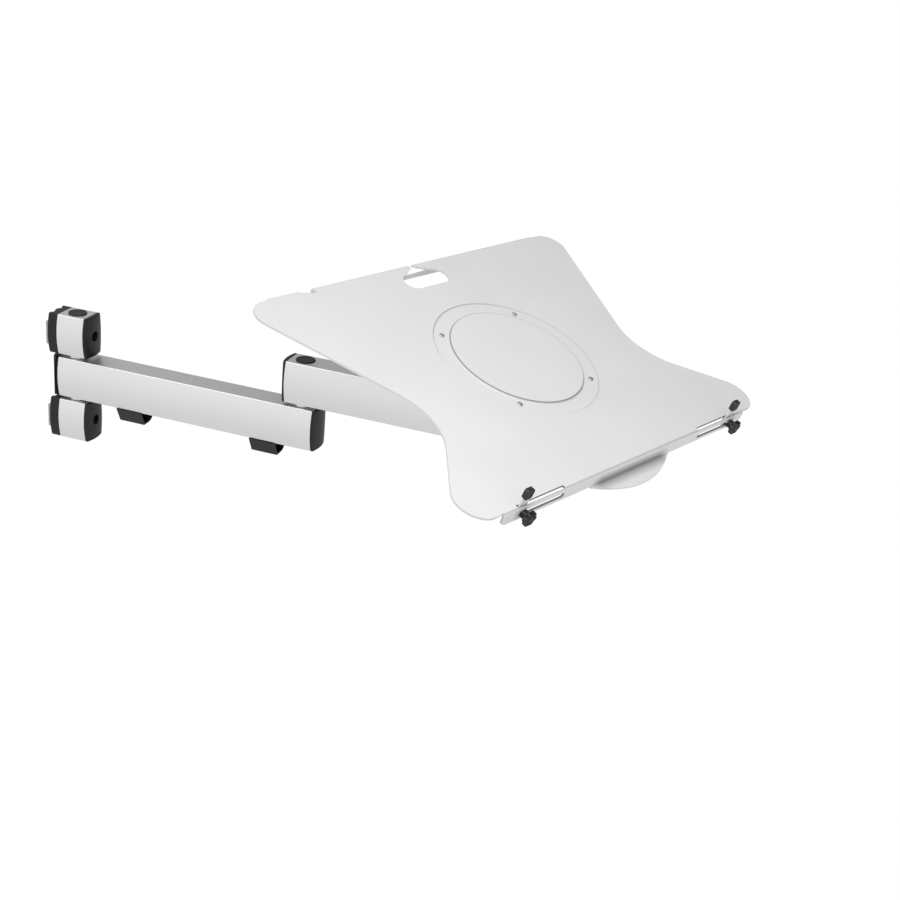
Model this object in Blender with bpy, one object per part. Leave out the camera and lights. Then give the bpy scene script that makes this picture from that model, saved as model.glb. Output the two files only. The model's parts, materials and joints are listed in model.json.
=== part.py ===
"""Column-mounted laptop arm: two column blocks, two swivelling arms, a tilting head and a sheet-steel tray.

Metres, +Z up. The origin lies on the column's face at the lower arm's mid height, and +X runs along the arms.
"""

import math

import bmesh
import bpy
from mathutils import Matrix

# Fits
CLEARANCE = 0.0003  # between pieces that touch or turn on each other
BROKEN_EDGE = 0.0004  # chamfer of turned screws and bolts

# Extruded section of the arms and of both column blocks
BODY_HEIGHT = 0.041
BODY_FLAT = 0.026  # width of its flat top and bottom
BODY_BOW = 0.003  # how far each side swells
BODY_WALL = 0.0025
BODY_EDGE_RADIUS = 0.0008
STACK_GAP = 0.0035  # between bodies one above the other

# Arms
SHOULDER_TO_ELBOW = 0.246
ELBOW_TO_HEAD = 0.197

# Black caps of the bodies
PLUG_DEPTH = 0.004
PLUG_ROOM = 0.00145  # between a plug's end and the bush in the same body
CAP_ROUNDING = 0.0008
DOME_SIDE = 0.0012  # thickness at the sides
DOME_CENTRE = 0.0042
REAR_CAP_DEPTH = 0.0095
VALLEY_CENTRE = 0.00625  # of each groove between the ridges, from the middle
VALLEY_MOUTH = 0.0085
VALLEY_FLOOR = 0.003
VALLEY_DEPTH = 0.002
NECK_WIDTH = 0.0024
NECK_RECESS = 0.0015
SWING_GAP = 0.00055  # inner cap's face, round the shoulder axis, from the column
SWING_LIP = 0.0008

# Pivots
SHAFT_DIAMETER = 0.0146
SHAFT_BORE = 0.008
BUSH_DIAMETER = 0.0186
SPACER_DIAMETER = 0.020
PIVOT_CAP_DIAMETER = 0.0184
PIVOT_CAP_THICKNESS = 0.0008
PIVOT_CAP_STEM = 0.006
SHAFT_SETBACK = 0.0003  # shaft ends below the faces that the caps cover

# Column clamp
SCREW_DIAMETER = 0.006
SCREW_HEAD_DIAMETER = 0.0098
SCREW_HEAD_HEIGHT = 0.004
SCREW_SOCKET = 0.005  # across flats
SCREW_SOCKET_DEPTH = 0.0022
SCREW_REACH = 0.010  # past the column's face
ACCESS_ROOM = 0.00035  # round the screw's head in the front cap's hole
SADDLE_DIAMETER = 0.012
SADDLE_LENGTH = 0.0045
SADDLE_BACK = 0.0011  # left behind the shaft
NUT_HEIGHT = 0.024
NUT_WIDTH = 0.010
NUT_THICKNESS = 0.0045
NUT_BEVEL = 0.001
NUT_DROP = 0.004  # middle of the nut below the screw
SLOT_LIP = 0.0045  # column wall between the nut and the rear cap

# Cable clips under the lower arm
CLIP_FROM_SHOULDER = 0.0644  # middle of the first clip
CLIP_FROM_ELBOW = 0.0364  # middle of the second
CLIP_LENGTH = 0.0275
CLIP_WALL = 0.0016
CLIP_FRONT = 0.0139  # front edge from the middle
CLIP_CORNER = 0.0065  # lowest edge from the middle
CLIP_BACK = 0.011
CLIP_DROP = 0.0147
CLIP_SQUARENESS = 0.5  # exponent of the back curve, 1 is an ellipse
CLIP_PEG_DIAMETER = 0.004
CLIP_PEG_REACH = 0.004
CLIP_PEG_SPACING = 0.014

# Tilting head
HEAD_YAW = 67.5  # tilt axis from +X at rest, degrees
TRAY_TILT = 20.0  # front of the tray lowered at rest, degrees
YOKE_BASE_DIAMETER = 0.044
YOKE_BASE_THICKNESS = 0.005
TILT_AXIS_HEIGHT = 0.01268  # above the yoke's base
EAR_RADIUS = 0.009
EAR_THICKNESS = 0.006
KNUCKLE_WIDTH = 0.020
FRICTION_WASHER = 0.0014
FRICTION_WASHER_DIAMETER = 0.017
TILT_BOLT_DIAMETER = 0.008
TILT_HEAD_DIAMETER = 0.013
TILT_HEAD_HEIGHT = 0.005
TILT_NUT_FLATS = 0.013
TILT_NUT_HEIGHT = 0.0065
TILT_BOLT_END = 0.0015
TRAY_RISE = 0.026  # tray's top face above the tilt axis
CARRIER_MARGIN = 0.0075  # past the middles of the tray screws
CARRIER_THICKNESS = 0.003
CARRIER_CORNER = 0.008

# Tray sheet, seen along its own axes: x across, y towards the rear, z up from its top face
SHEET = 0.002
BEND_RADIUS = 0.003  # outside
REAR_EDGE = 0.1426  # where the rear flange's bend starts
FRONT_FACE = 0.1465
PLATE_SETBACK = 0.0012  # of the plate's front edge behind the front face
WAIST_HALF = 0.1454
WAIST_FORWARD = 0.0259
WAIST_RADIUS = 0.0632
REAR_CORNER_RADIUS = 0.0188
FRONT_CORNER_RADIUS = 0.0229
REAR_CORNER_OUT = 0.00928  # middle of the corner's arc past the flange's end
FRONT_CORNER_OUT = 0.00627
REAR_FLANGE_HALF = 0.175
REAR_FLANGE_DEPTH = 0.0167
REAR_FLANGE_CORNER = 0.004
FRONT_FLANGE_HALF = 0.1725
FRONT_FLANGE_DEPTH = 0.0122
FRONT_FLANGE_CORNER = 0.006
BEND_RELIEF = 0.001
RING_OUTWARD = 0.00829  # pressed ring outside the circle through the screws
RING_INWARD = 0.00671
PRESS_DEPTH = 0.001
DISC_RISE = 0.001
PRESS_LEAN = 0.5  # run of the pressed walls for their height
PRESS_ROOT = 0.0005  # depth of the disc's wall into the ring's floor
TRAY_SCREW_SPACING = 0.100
TRAY_SCREW_DIAMETER = 0.003
TRAY_SCREW_HEAD = 0.0048
TRAY_SCREW_HEAD_HEIGHT = 0.0009
TRAY_SCREW_RECESS = 0.0018
TRAY_SCREW_END = 0.0015
TAB_HALF = 0.0557
TAB_REACH = 0.017
TAB_LAP = 0.0005  # tab's top above the flange's lower edge
TAB_ROOT_SHARE = 0.9  # of the flange's thickness
HOLE_DEPTH = 0.0309  # from the rear edge to the hole's far side
HOLE_HALF = 0.027
HOLE_CORNER = 0.0105
THROAT_SETBACK = 0.0021
SLIT_WIDTH = 0.0062
CUTOUT_LEFT = 0.022
CUTOUT_RIGHT = 0.026
CUTOUT_TOP = 0.0035
CUTOUT_BOTTOM = 0.0125
NOTCH_INSET = 0.034  # from the rear flange's end
NOTCH_WIDTH = 0.017
NOTCH_FLOOR = 0.005
NOTCH_DEPTH = 0.0075
NOTCH_DROP = 0.008

# Laptop stops
SLOT_MARGIN = 0.0155  # from the flange's end to the slots
SLOT_OFFSET = 0.002  # both pairs of slots lie further to the right
STOP_REST = 0.0075  # middle of a stop from the end of its slots
STOP_TRAVEL = 0.045
SLOT_ROOM_AHEAD = 0.0006  # before the leaf in the top slot
SLOT_ROOM_BEHIND = 0.0008
FLANGE_SLOT_SHORT = 0.003  # its outer end from that of the top slot
ROUND_END_SHARE = 0.98  # of a slot's half height, as the radius of its ends
LEAF_WIDTH = 0.0106
LEAF_THICKNESS = 0.0016
LEAF_FOOT = 0.0045  # below its bolt
LEAF_SHOULDER = 0.0062
TONGUE_WIDTH = 0.005
TONGUE_HEIGHT = 0.0085  # above the leaf's shoulder
PAD_HEIGHT = 0.0096
PAD_WIDTH = 0.009
PAD_THICKNESS = 0.0044
PAD_CHAMFER = 0.0014
STOP_BOLT_DIAMETER = 0.0044
STOP_BOLT_HEAD = 0.0076
STOP_BOLT_HEAD_HEIGHT = 0.0015
STOP_HEAD_ROOM = 0.0007  # below the plate
STOP_BOLT_ENGAGED = 0.0065  # inside the knob
KNOB_NECK_DIAMETER = 0.008
KNOB_NECK_LENGTH = 0.0048
KNOB_DIAMETER = 0.0142
KNOB_HEAD_LENGTH = 0.0044
KNOB_LOBES = 6
KNOB_LOBE_DEPTH = 0.0011
KNOB_CHAMFER = 0.0008
KNOB_RING_MARGIN = 0.0007  # between the ring groove and the foot of the lobes
KNOB_RING_WIDTH = 0.0012
KNOB_RING_DEPTH = 0.0008

# Steps of the round stretches
ROUND_STEPS = 24
SMALL_ROUND_STEPS = 16
PRESS_STEPS = 48
KNOB_LOBE_STEPS = 6
SIDE_STEPS = 3
CORNER_STEPS = 2
DOME_STEPS = 6
FILLET_STEPS = 6
WAIST_STEPS = 10
BEND_STEPS = 4

# Modelling
OVERCUT = 0.001  # reach of a cutter past the material that it cuts
MERGE_DISTANCE = 0.000001
SHARP_ANGLE = 32.0  # edges bent more than this stay sharp, degrees
AXIS_MARK = 0.02  # shown size of the empties

# Finishes: base colour, metallic, roughness
FINISHES = {
    "satin_aluminium": ((0.74, 0.75, 0.76), 1.0, 0.42),
    "black_plastic": ((0.028, 0.028, 0.030), 0.0, 0.48),
    "bright_steel": ((0.66, 0.67, 0.68), 1.0, 0.28),
    "white_powder_coat": ((0.80, 0.80, 0.79), 0.0, 0.45),
    "black_rubber": ((0.020, 0.020, 0.021), 0.0, 0.75),
    "bronze_bush": ((0.52, 0.38, 0.20), 1.0, 0.38),
    "dark_steel": ((0.16, 0.16, 0.17), 1.0, 0.40),
}

# Places worked out from the sizes above
LEVEL = BODY_HEIGHT + STACK_GAP
HALF_HEIGHT = BODY_HEIGHT / 2
PIVOT_INSET = BUSH_DIAMETER / 2 + PLUG_ROOM + PLUG_DEPTH
SHOULDER_X = REAR_CAP_DEPTH + CLEARANCE + PIVOT_INSET
SWING_RADIUS = SHOULDER_X - SWING_GAP
CLIP_CENTRES = (CLIP_FROM_SHOULDER, SHOULDER_TO_ELBOW - CLIP_FROM_ELBOW)
SHAFT_RADIUS = SHAFT_DIAMETER / 2
FIXED_BORE = SHAFT_RADIUS + CLEARANCE
BUSH_BORE = BUSH_DIAMETER / 2 + CLEARANCE
PLUG_INSET = BODY_WALL + CLEARANCE
SCREW_HOLE = SCREW_DIAMETER / 2 + CLEARANCE
ACCESS_HOLE = SCREW_HEAD_DIAMETER + 2 * ACCESS_ROOM
FRONT_EDGE = FRONT_FACE - PLATE_SETBACK
FRONT_BEND = BEND_RADIUS - FRONT_FACE
TRAY_BOTTOM = SHEET + PRESS_DEPTH
SCREW_CIRCLE = TRAY_SCREW_SPACING * math.sqrt(0.5)
PRESS_RADIUS = SCREW_CIRCLE + RING_OUTWARD
DISC_RADIUS = SCREW_CIRCLE - RING_INWARD
CARRIER_TOP = TRAY_BOTTOM + CLEARANCE
CARRIER_SIZE = TRAY_SCREW_SPACING + 2 * CARRIER_MARGIN
TAB_LEVEL = FRONT_FLANGE_DEPTH - TAB_LAP
HOLE_BOTTOM = REAR_EDGE - HOLE_DEPTH
HOLE_THROAT = REAR_EDGE - THROAT_SETBACK
NOTCH_LEFT = REAR_FLANGE_HALF - NOTCH_INSET
NOTCH_RIGHT = NOTCH_LEFT - NOTCH_WIDTH
LEAF_FRONT = CLEARANCE + SHEET - FRONT_FACE
SLOT_OUTER = FRONT_FLANGE_HALF - SLOT_MARGIN
STOP_OUT = SLOT_OUTER - STOP_REST
SLOT_INNER = STOP_OUT - STOP_TRAVEL - STOP_REST
TOP_SLOT_FRONT = SLOT_ROOM_AHEAD - LEAF_FRONT
TOP_SLOT_BACK = -LEAF_FRONT - LEAF_THICKNESS - SLOT_ROOM_BEHIND
FLANGE_SLOT_OUTER = SLOT_OUTER - FLANGE_SLOT_SHORT
FLANGE_SLOT_HEIGHT = STOP_BOLT_DIAMETER + 2 * CLEARANCE
FLANGE_SLOT_LEVEL = SHEET + STOP_HEAD_ROOM + STOP_BOLT_HEAD / 2
LEAF_DROP = FLANGE_SLOT_LEVEL + LEAF_FOOT
TONGUE_TOP = LEAF_SHOULDER + TONGUE_HEIGHT
PAD_BOTTOM = LEAF_SHOULDER + 2 * CLEARANCE
PAD_TOP = PAD_BOTTOM + PAD_HEIGHT
KNOB_RING_OUTER = KNOB_DIAMETER / 2 - KNOB_CHAMFER - KNOB_LOBE_DEPTH - KNOB_RING_MARGIN
EAR_INNER = KNUCKLE_WIDTH / 2 + FRICTION_WASHER + 2 * CLEARANCE
EAR_OUTER = EAR_INNER + EAR_THICKNESS


def clear_scene():
    for obj in list(bpy.data.objects):
        bpy.data.objects.remove(obj, do_unlink=True)


def material_for(name, finish):
    colour, metallic, roughness = FINISHES[finish]
    material = bpy.data.materials.new(name)
    material.use_nodes = True
    shader = material.node_tree.nodes["Principled BSDF"]
    shader.inputs["Base Color"].default_value = (*colour, 1.0)
    shader.inputs["Metallic"].default_value = metallic
    shader.inputs["Roughness"].default_value = roughness
    return material


def add_empty(name, parent, location, rotation=(0, 0, 0)):
    """An axis that pieces hang from."""
    empty = bpy.data.objects.new(name, None)
    empty.empty_display_size = AXIS_MARK
    bpy.context.scene.collection.objects.link(empty)
    empty.parent = parent
    empty.location = location
    empty.rotation_euler = rotation
    return empty


def add_piece(name, mesh, parent, finish, location=(0, 0, 0), rotation=(0, 0, 0)):
    """A visible sub-part, with its own material."""
    piece = bpy.data.objects.new(name, mesh)
    bpy.context.scene.collection.objects.link(piece)
    piece.parent = parent
    piece.location = location
    piece.rotation_euler = rotation
    mesh.materials.append(material_for(name, finish))
    mesh.shade_smooth()
    mesh.set_sharp_from_angle(angle=math.radians(SHARP_ANGLE))
    return piece


def boolean(piece, mesh, operation):
    """Cuts or joins a helper shape that is given in the piece's own axes."""
    helper = bpy.data.objects.new(f"{piece.name}_{mesh.name}", mesh)
    bpy.context.scene.collection.objects.link(helper)
    helper.parent = piece
    helper.hide_render = True
    helper.display_type = "WIRE"
    modifier = piece.modifiers.new(mesh.name, "BOOLEAN")
    modifier.operation = operation
    modifier.solver = "EXACT"
    modifier.object = helper


def finish_mesh(name, bm, turn=None):
    """Closes the mesh's seams, turns its faces outwards and returns it."""
    bmesh.ops.remove_doubles(bm, verts=bm.verts, dist=MERGE_DISTANCE)
    bmesh.ops.recalc_face_normals(bm, faces=bm.faces)
    if turn is not None:
        bm.transform(turn)
    mesh = bpy.data.meshes.new(name)
    bm.to_mesh(mesh)
    bm.free()
    return mesh


def along(axis):
    """Rotation that lays a shape built along +Z along another axis."""
    return {
        "Z": Matrix.Identity(4),
        "X": Matrix.Rotation(math.radians(90), 4, "Y"),
        "-Y": Matrix.Rotation(math.radians(90), 4, "X"),
    }[axis]


def arc(centre, radius, start, end, steps):
    """Points round a centre from one angle to another, in degrees, both ends included."""
    angles = [math.radians(start + (end - start) * i / steps) for i in range(steps + 1)]
    return [(centre[0] + radius * math.cos(a), centre[1] + radius * math.sin(a)) for a in angles]


def circle(radius, steps, centre=(0, 0)):
    return arc(centre, radius, 0, 360, steps)[:-1]


def rounded_rectangle(left, right, bottom, top, radius, steps=FILLET_STEPS):
    corners = (
        (right - radius, bottom + radius, -90),
        (right - radius, top - radius, 0),
        (left + radius, top - radius, 90),
        (left + radius, bottom + radius, 180),
    )
    points = []
    for a, b, start in corners:
        points += arc((a, b), radius, start, start + 90, steps)
    return points


def rectangle(left, right, bottom, top):
    return [(left, bottom), (right, bottom), (right, top), (left, top)]


def hexagon(across_flats):
    return circle(across_flats / 2 / math.cos(math.radians(30)), 6)


def add_skin(bm, rings, loop=False):
    """Quads between rings of equally many points, closed by a face at each end or, as a loop, onto itself."""
    rows = [[bm.verts.new(point) for point in ring] for ring in rings]
    pairs = list(zip(rows, rows[1:]))
    if loop:
        pairs.append((rows[-1], rows[0]))
    for low, high in pairs:
        for i, vert in enumerate(low):
            j = (i + 1) % len(low)
            bm.faces.new((vert, low[j], high[j], high[i]))
    if not loop:
        bm.faces.new(rows[0][::-1])
        bm.faces.new(rows[-1])


def add_prism(bm, outline, low, high, axis="Z"):
    """An outline carried along an axis: (x, y) along Z, (y, z) along X, (x, z) along Y."""
    lay = {
        "Z": lambda a, b, t: (a, b, t),
        "X": lambda a, b, t: (t, a, b),
        "Y": lambda a, b, t: (a, t, b),
    }[axis]
    add_skin(bm, [[lay(a, b, t) for a, b in outline] for t in (low, high)])


def prism(name, outline, low, high, axis="Z"):
    bm = bmesh.new()
    add_prism(bm, outline, low, high, axis)
    return finish_mesh(name, bm)


def turned(name, profile, steps=ROUND_STEPS, axis="Z"):
    """A profile of (radius, height) points turned round an axis; it closes onto itself or at the axis."""
    bm = bmesh.new()
    rows = []
    for radius, height in profile:
        outline = circle(radius, steps) if radius > 0 else [(0, 0)]
        rows.append([bm.verts.new((x, y, height)) for x, y in outline])
    pairs = list(zip(rows, rows[1:]))
    if profile[0][0] > 0:
        pairs.append((rows[-1], rows[0]))
    for low, high in pairs:
        for i in range(steps):
            j = (i + 1) % steps
            corners = (low[i % len(low)], low[j % len(low)], high[j % len(high)], high[i % len(high)])
            bm.faces.new(list(dict.fromkeys(corners)))
    return finish_mesh(name, bm, along(axis))


def cylinder(name, radius, low, high, axis="Z", steps=ROUND_STEPS, shift=(0, 0, 0)):
    bm = bmesh.new()
    add_prism(bm, circle(radius, steps), low, high)
    return finish_mesh(name, bm, Matrix.Translation(shift) @ along(axis))


def tube(name, outer, inner, low, high):
    """A plain turned ring."""
    return turned(name, [(inner, low), (outer, low), (outer, high), (inner, high)])


def body_half(inset, flat_steps=1):
    """Upper half of the extruded section, inset evenly, as (y, z) points from the +Y side to the -Y side."""
    side_radius = (HALF_HEIGHT**2 + BODY_BOW**2) / (2 * BODY_BOW)
    side_centre = BODY_FLAT / 2 + BODY_BOW - side_radius
    corner_z = HALF_HEIGHT - inset - BODY_EDGE_RADIUS
    reach = side_radius - inset - BODY_EDGE_RADIUS
    corner_y = side_centre + math.sqrt(reach**2 - corner_z**2)
    turn = math.degrees(math.atan2(corner_z, corner_y - side_centre))
    side = arc((side_centre, 0), side_radius - inset, 0, turn, SIDE_STEPS)
    side += arc((corner_y, corner_z), BODY_EDGE_RADIUS, turn, 90, CORNER_STEPS)[1:]
    flat = [(corner_y * (1 - 2 * i / flat_steps), HALF_HEIGHT - inset) for i in range(1, flat_steps)]
    return side + flat + [(-y, z) for y, z in reversed(side)]


def body_ring(inset, depth, flat_steps=1):
    """Full section as (x, y, z) points, with x a number or a function of y."""
    half = body_half(inset, flat_steps)
    outline = half + [(y, -z) for y, z in reversed(half[1:-1])]
    return [(depth(y) if callable(depth) else depth, y, z) for y, z in outline]


def body_tube(name, start, end):
    """The hollow extrusion between two x places."""
    bm = bmesh.new()
    rings = [body_ring(0, start), body_ring(0, end), body_ring(BODY_WALL, end), body_ring(BODY_WALL, start)]
    add_skin(bm, rings, loop=True)
    return finish_mesh(name, bm)


def body_cap(name, rings):
    """A cap lofted through (depth, inset) sections from its plug outwards. Its face is ruled along Z."""
    bm = bmesh.new()
    rows = []
    for depth, inset in rings:
        rows.append([bm.verts.new(point) for point in body_ring(inset, depth, DOME_STEPS)])
    for low, high in zip(rows, rows[1:]):
        for i, vert in enumerate(low):
            j = (i + 1) % len(low)
            bm.faces.new((vert, low[j], high[j], high[i]))
    bm.faces.new(rows[0])
    rim = rows[-1]
    count = len(rim) // 2
    for i in range(count):
        corners = (rim[i], rim[i + 1], rim[(2 * count - i - 1) % len(rim)], rim[(2 * count - i) % len(rim)])
        bm.faces.new(list(dict.fromkeys(corners)))
    return finish_mesh(name, bm)


def plug_rings():
    return [(-PLUG_DEPTH, PLUG_INSET), (CLEARANCE, PLUG_INSET)]


def rounded_rim(depth, rounding):
    """Three sections that round the rim of a face whose depth is a function of y."""
    lean = math.sqrt(0.5)
    return [
        (lambda y: depth(y) - rounding, 0),
        (lambda y: depth(y) - rounding * (1 - lean), rounding * (1 - lean)),
        (lambda y: depth(y), rounding),
    ]


def domed_cap(name):
    half_width = BODY_FLAT / 2 + BODY_BOW

    def depth(y):
        return CLEARANCE + DOME_SIDE + (DOME_CENTRE - DOME_SIDE) * (1 - (y / half_width) ** 2)

    return body_cap(name, plug_rings() + [(CLEARANCE, 0)] + rounded_rim(depth, CAP_ROUNDING))


def necked_cap(name):
    """Inner cap of the lower arm: a narrow neck, then a head that follows the swing round the shoulder."""
    neck_end = CLEARANCE + NECK_WIDTH
    rounding = SWING_LIP / 2

    def depth(y):
        return max(math.sqrt(SWING_RADIUS**2 - y**2) - PIVOT_INSET, neck_end + SWING_LIP)

    neck = [(CLEARANCE, NECK_RECESS), (neck_end, NECK_RECESS), (neck_end, 0)]
    return body_cap(name, plug_rings() + neck + rounded_rim(depth, rounding))


def ridged_cap(name):
    """Rear cap of a block: its flat face lies on the column, with two grooves between three ridges."""
    depth = CLEARANCE + REAR_CAP_DEPTH
    rim = rounded_rim(lambda y: depth, CAP_ROUNDING / 2)
    return body_cap(name, plug_rings() + [(CLEARANCE, 0)] + rim)


def cut_valleys(cap):
    face = CLEARANCE + REAR_CAP_DEPTH
    floor = face - VALLEY_DEPTH
    slope = (VALLEY_MOUTH - VALLEY_FLOOR) / 2 / VALLEY_DEPTH
    outer = VALLEY_FLOOR / 2 + slope * (VALLEY_DEPTH + OVERCUT)
    bm = bmesh.new()
    for centre in (-VALLEY_CENTRE, VALLEY_CENTRE):
        outline = [
            (floor, centre - VALLEY_FLOOR / 2),
            (face + OVERCUT, centre - outer),
            (face + OVERCUT, centre + outer),
            (floor, centre + VALLEY_FLOOR / 2),
        ]
        add_prism(bm, outline, -HALF_HEIGHT - OVERCUT, HALF_HEIGHT + OVERCUT)
    boolean(cap, finish_mesh("valleys", bm), "DIFFERENCE")


def bore_through(piece, name, x, radius):
    """A vertical bore through both walls of an extruded body."""
    reach = HALF_HEIGHT + OVERCUT
    boolean(piece, cylinder(name, radius, -reach, reach, shift=(x, 0, 0)), "DIFFERENCE")


def spacer(name):
    """Washer that fills the gap between two bodies."""
    half = STACK_GAP / 2 - CLEARANCE
    return tube(name, SPACER_DIAMETER / 2, FIXED_BORE, -half, half)


def bush(name):
    return tube(name, BUSH_DIAMETER / 2, FIXED_BORE, -HALF_HEIGHT, HALF_HEIGHT)


def pivot_cap(name):
    """Round cap with a stem that plugs the hollow shaft; its own z = 0 is the face that it lies on."""
    rim = PIVOT_CAP_DIAMETER / 2
    stem = SHAFT_BORE / 2 - CLEARANCE
    top = CLEARANCE + PIVOT_CAP_THICKNESS
    chamfer = PIVOT_CAP_THICKNESS / 2
    profile = [(0, -PIVOT_CAP_STEM), (stem, -PIVOT_CAP_STEM), (stem, CLEARANCE), (rim, CLEARANCE)]
    profile += [(rim, top - chamfer), (rim - chamfer, top), (0, top)]
    return turned(name, profile)


def add_pivot_cap(name, parent, face, downwards=False):
    turn = (math.pi, 0, 0) if downwards else (0, 0, 0)
    add_piece(name, pivot_cap(name), parent, "black_plastic", (0, 0, face), turn)


def add_block(side, root):
    """Upper or lower column block with its caps, clamp screw, saddle and slot nut."""
    name = "upper" if side > 0 else "lower"
    centre = (SHOULDER_X, 0, side * LEVEL)
    mesh = body_tube(f"{name}_block", -PIVOT_INSET, PIVOT_INSET)
    block = add_piece(f"{name}_block", mesh, root, "satin_aluminium", centre)
    bore_through(block, "shaft_bore", 0, FIXED_BORE)

    rear_name = f"{name}_rear_cap"
    rear_place = (SHOULDER_X - PIVOT_INSET, 0, side * LEVEL)
    rear = add_piece(rear_name, ridged_cap(rear_name), root, "black_plastic", rear_place, (0, 0, math.pi))
    cut_valleys(rear)
    start = -PLUG_DEPTH - OVERCUT
    reach = REAR_CAP_DEPTH + CLEARANCE + OVERCUT
    boolean(rear, cylinder("screw_hole", SCREW_HOLE, start, reach, "X", SMALL_ROUND_STEPS), "DIFFERENCE")

    front_name = f"{name}_front_cap"
    front_place = (SHOULDER_X + PIVOT_INSET, 0, side * LEVEL)
    front = add_piece(front_name, domed_cap(front_name), root, "black_plastic", front_place)
    reach = DOME_CENTRE + CLEARANCE + OVERCUT
    boolean(front, cylinder("access_hole", ACCESS_HOLE / 2, start, reach, "X"), "DIFFERENCE")

    add_saddle(name, centre, root)
    add_clamp_screw(name, centre, root)
    add_slot_nut(name, side * LEVEL, root)


def add_saddle(name, centre, root):
    """Ring between the screw's head and the round shaft, hollowed to the shaft."""
    face = SHAFT_RADIUS + SADDLE_BACK
    mesh = cylinder(f"{name}_screw_saddle", SADDLE_DIAMETER / 2, face - SADDLE_LENGTH, face, "X")
    saddle = add_piece(f"{name}_screw_saddle", mesh, root, "bright_steel", centre)
    width = SADDLE_DIAMETER / 2 + OVERCUT
    boolean(saddle, cylinder("shaft_seat", SHAFT_RADIUS + CLEARANCE, -width, width), "DIFFERENCE")
    hole = cylinder("screw_hole", SCREW_HOLE, -OVERCUT, face + OVERCUT, "X", SMALL_ROUND_STEPS)
    boolean(saddle, hole, "DIFFERENCE")


def add_clamp_screw(name, centre, root):
    """Socket screw from inside the front cap, through shaft and rear cap, into the slot nut."""
    seat = SHAFT_RADIUS + SADDLE_BACK + CLEARANCE
    top = seat + SCREW_HEAD_HEIGHT
    tip = -(SHOULDER_X + SCREW_REACH)
    shank = SCREW_DIAMETER / 2
    head = SCREW_HEAD_DIAMETER / 2
    edge = BROKEN_EDGE
    profile = [(0, tip), (shank - edge, tip), (shank, tip + edge), (shank, seat), (head, seat)]
    profile += [(head, top - edge), (head - edge, top), (0, top)]
    mesh = turned(f"{name}_clamp_screw", profile, SMALL_ROUND_STEPS, "X")
    screw = add_piece(f"{name}_clamp_screw", mesh, root, "dark_steel", centre)
    socket = prism("socket", hexagon(SCREW_SOCKET), top - SCREW_SOCKET_DEPTH, top + OVERCUT, "X")
    boolean(screw, socket, "DIFFERENCE")


def add_slot_nut(name, level, root):
    """Bar in the column's slot, bevelled at both ends, that the clamp screw pulls on."""
    top = NUT_HEIGHT / 2
    back = NUT_THICKNESS
    outline = [(0, -top), (0, top), (-back + NUT_BEVEL / 2, top), (-back, top - NUT_BEVEL)]
    outline += [(-back, NUT_BEVEL - top), (-back + NUT_BEVEL / 2, -top)]
    mesh = prism(f"{name}_slot_nut", outline, -NUT_WIDTH / 2, NUT_WIDTH / 2, "Y")
    nut = add_piece(f"{name}_slot_nut", mesh, root, "bright_steel", (-SLOT_LIP, 0, level - NUT_DROP))
    hole = cylinder("thread", SCREW_HOLE, -back - OVERCUT, OVERCUT, "X", SMALL_ROUND_STEPS, (0, 0, NUT_DROP))
    boolean(nut, hole, "DIFFERENCE")


def add_shoulder(root):
    """Hollow shaft through blocks and lower arm, with its caps; the clamp screws cross it."""
    end = LEVEL + HALF_HEIGHT
    place = (SHOULDER_X, 0, 0)
    mesh = tube("shoulder_shaft", SHAFT_RADIUS, SHAFT_BORE / 2, SHAFT_SETBACK - end, end - SHAFT_SETBACK)
    shaft = add_piece("shoulder_shaft", mesh, root, "bright_steel", place)
    reach = SHAFT_RADIUS + OVERCUT
    for side, name in ((1, "upper_cross_bore"), (-1, "lower_cross_bore")):
        cutter = cylinder(name, SCREW_HOLE, -reach, reach, "X", SMALL_ROUND_STEPS, (0, 0, side * LEVEL))
        boolean(shaft, cutter, "DIFFERENCE")
    shoulder = add_empty("shoulder_faces", root, place)
    add_pivot_cap("shoulder_top_cap", shoulder, end)
    add_pivot_cap("shoulder_bottom_cap", shoulder, -end, downwards=True)
    for side, name in ((1, "shoulder_upper_washer"), (-1, "shoulder_lower_washer")):
        add_piece(name, spacer(name), root, "bright_steel", (SHOULDER_X, 0, side * LEVEL / 2))


def offset_inwards(outline, distance):
    """A counter-clockwise convex outline moved inwards, each corner where the moved edges meet."""
    moved = []
    count = len(outline)
    for i, (x, y) in enumerate(outline):
        before = outline[i - 1]
        after = outline[(i + 1) % count]
        first = (x - before[0], y - before[1])
        second = (after[0] - x, after[1] - y)
        first_normal = (-first[1] / math.hypot(*first), first[0] / math.hypot(*first))
        second_normal = (-second[1] / math.hypot(*second), second[0] / math.hypot(*second))
        share = 1 + first_normal[0] * second_normal[0] + first_normal[1] * second_normal[1]
        moved.append(
            (
                x + distance * (first_normal[0] + second_normal[0]) / share,
                y + distance * (first_normal[1] + second_normal[1]) / share,
            )
        )
    return moved


def clip_outline():
    """Clip section as (y, z) from the arm's underside: straight slanting front, curved bottom and back."""
    width = CLIP_CORNER + CLIP_BACK
    curve = []
    for i in range(FILLET_STEPS + 1):
        angle = math.radians(90 * i / FILLET_STEPS)
        across = math.sin(angle) ** CLIP_SQUARENESS
        down = max(math.cos(angle), 0) ** CLIP_SQUARENESS
        curve.append((width * across - CLIP_CORNER, -CLIP_DROP * down))
    return [(-CLIP_FRONT, 0)] + curve


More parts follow.
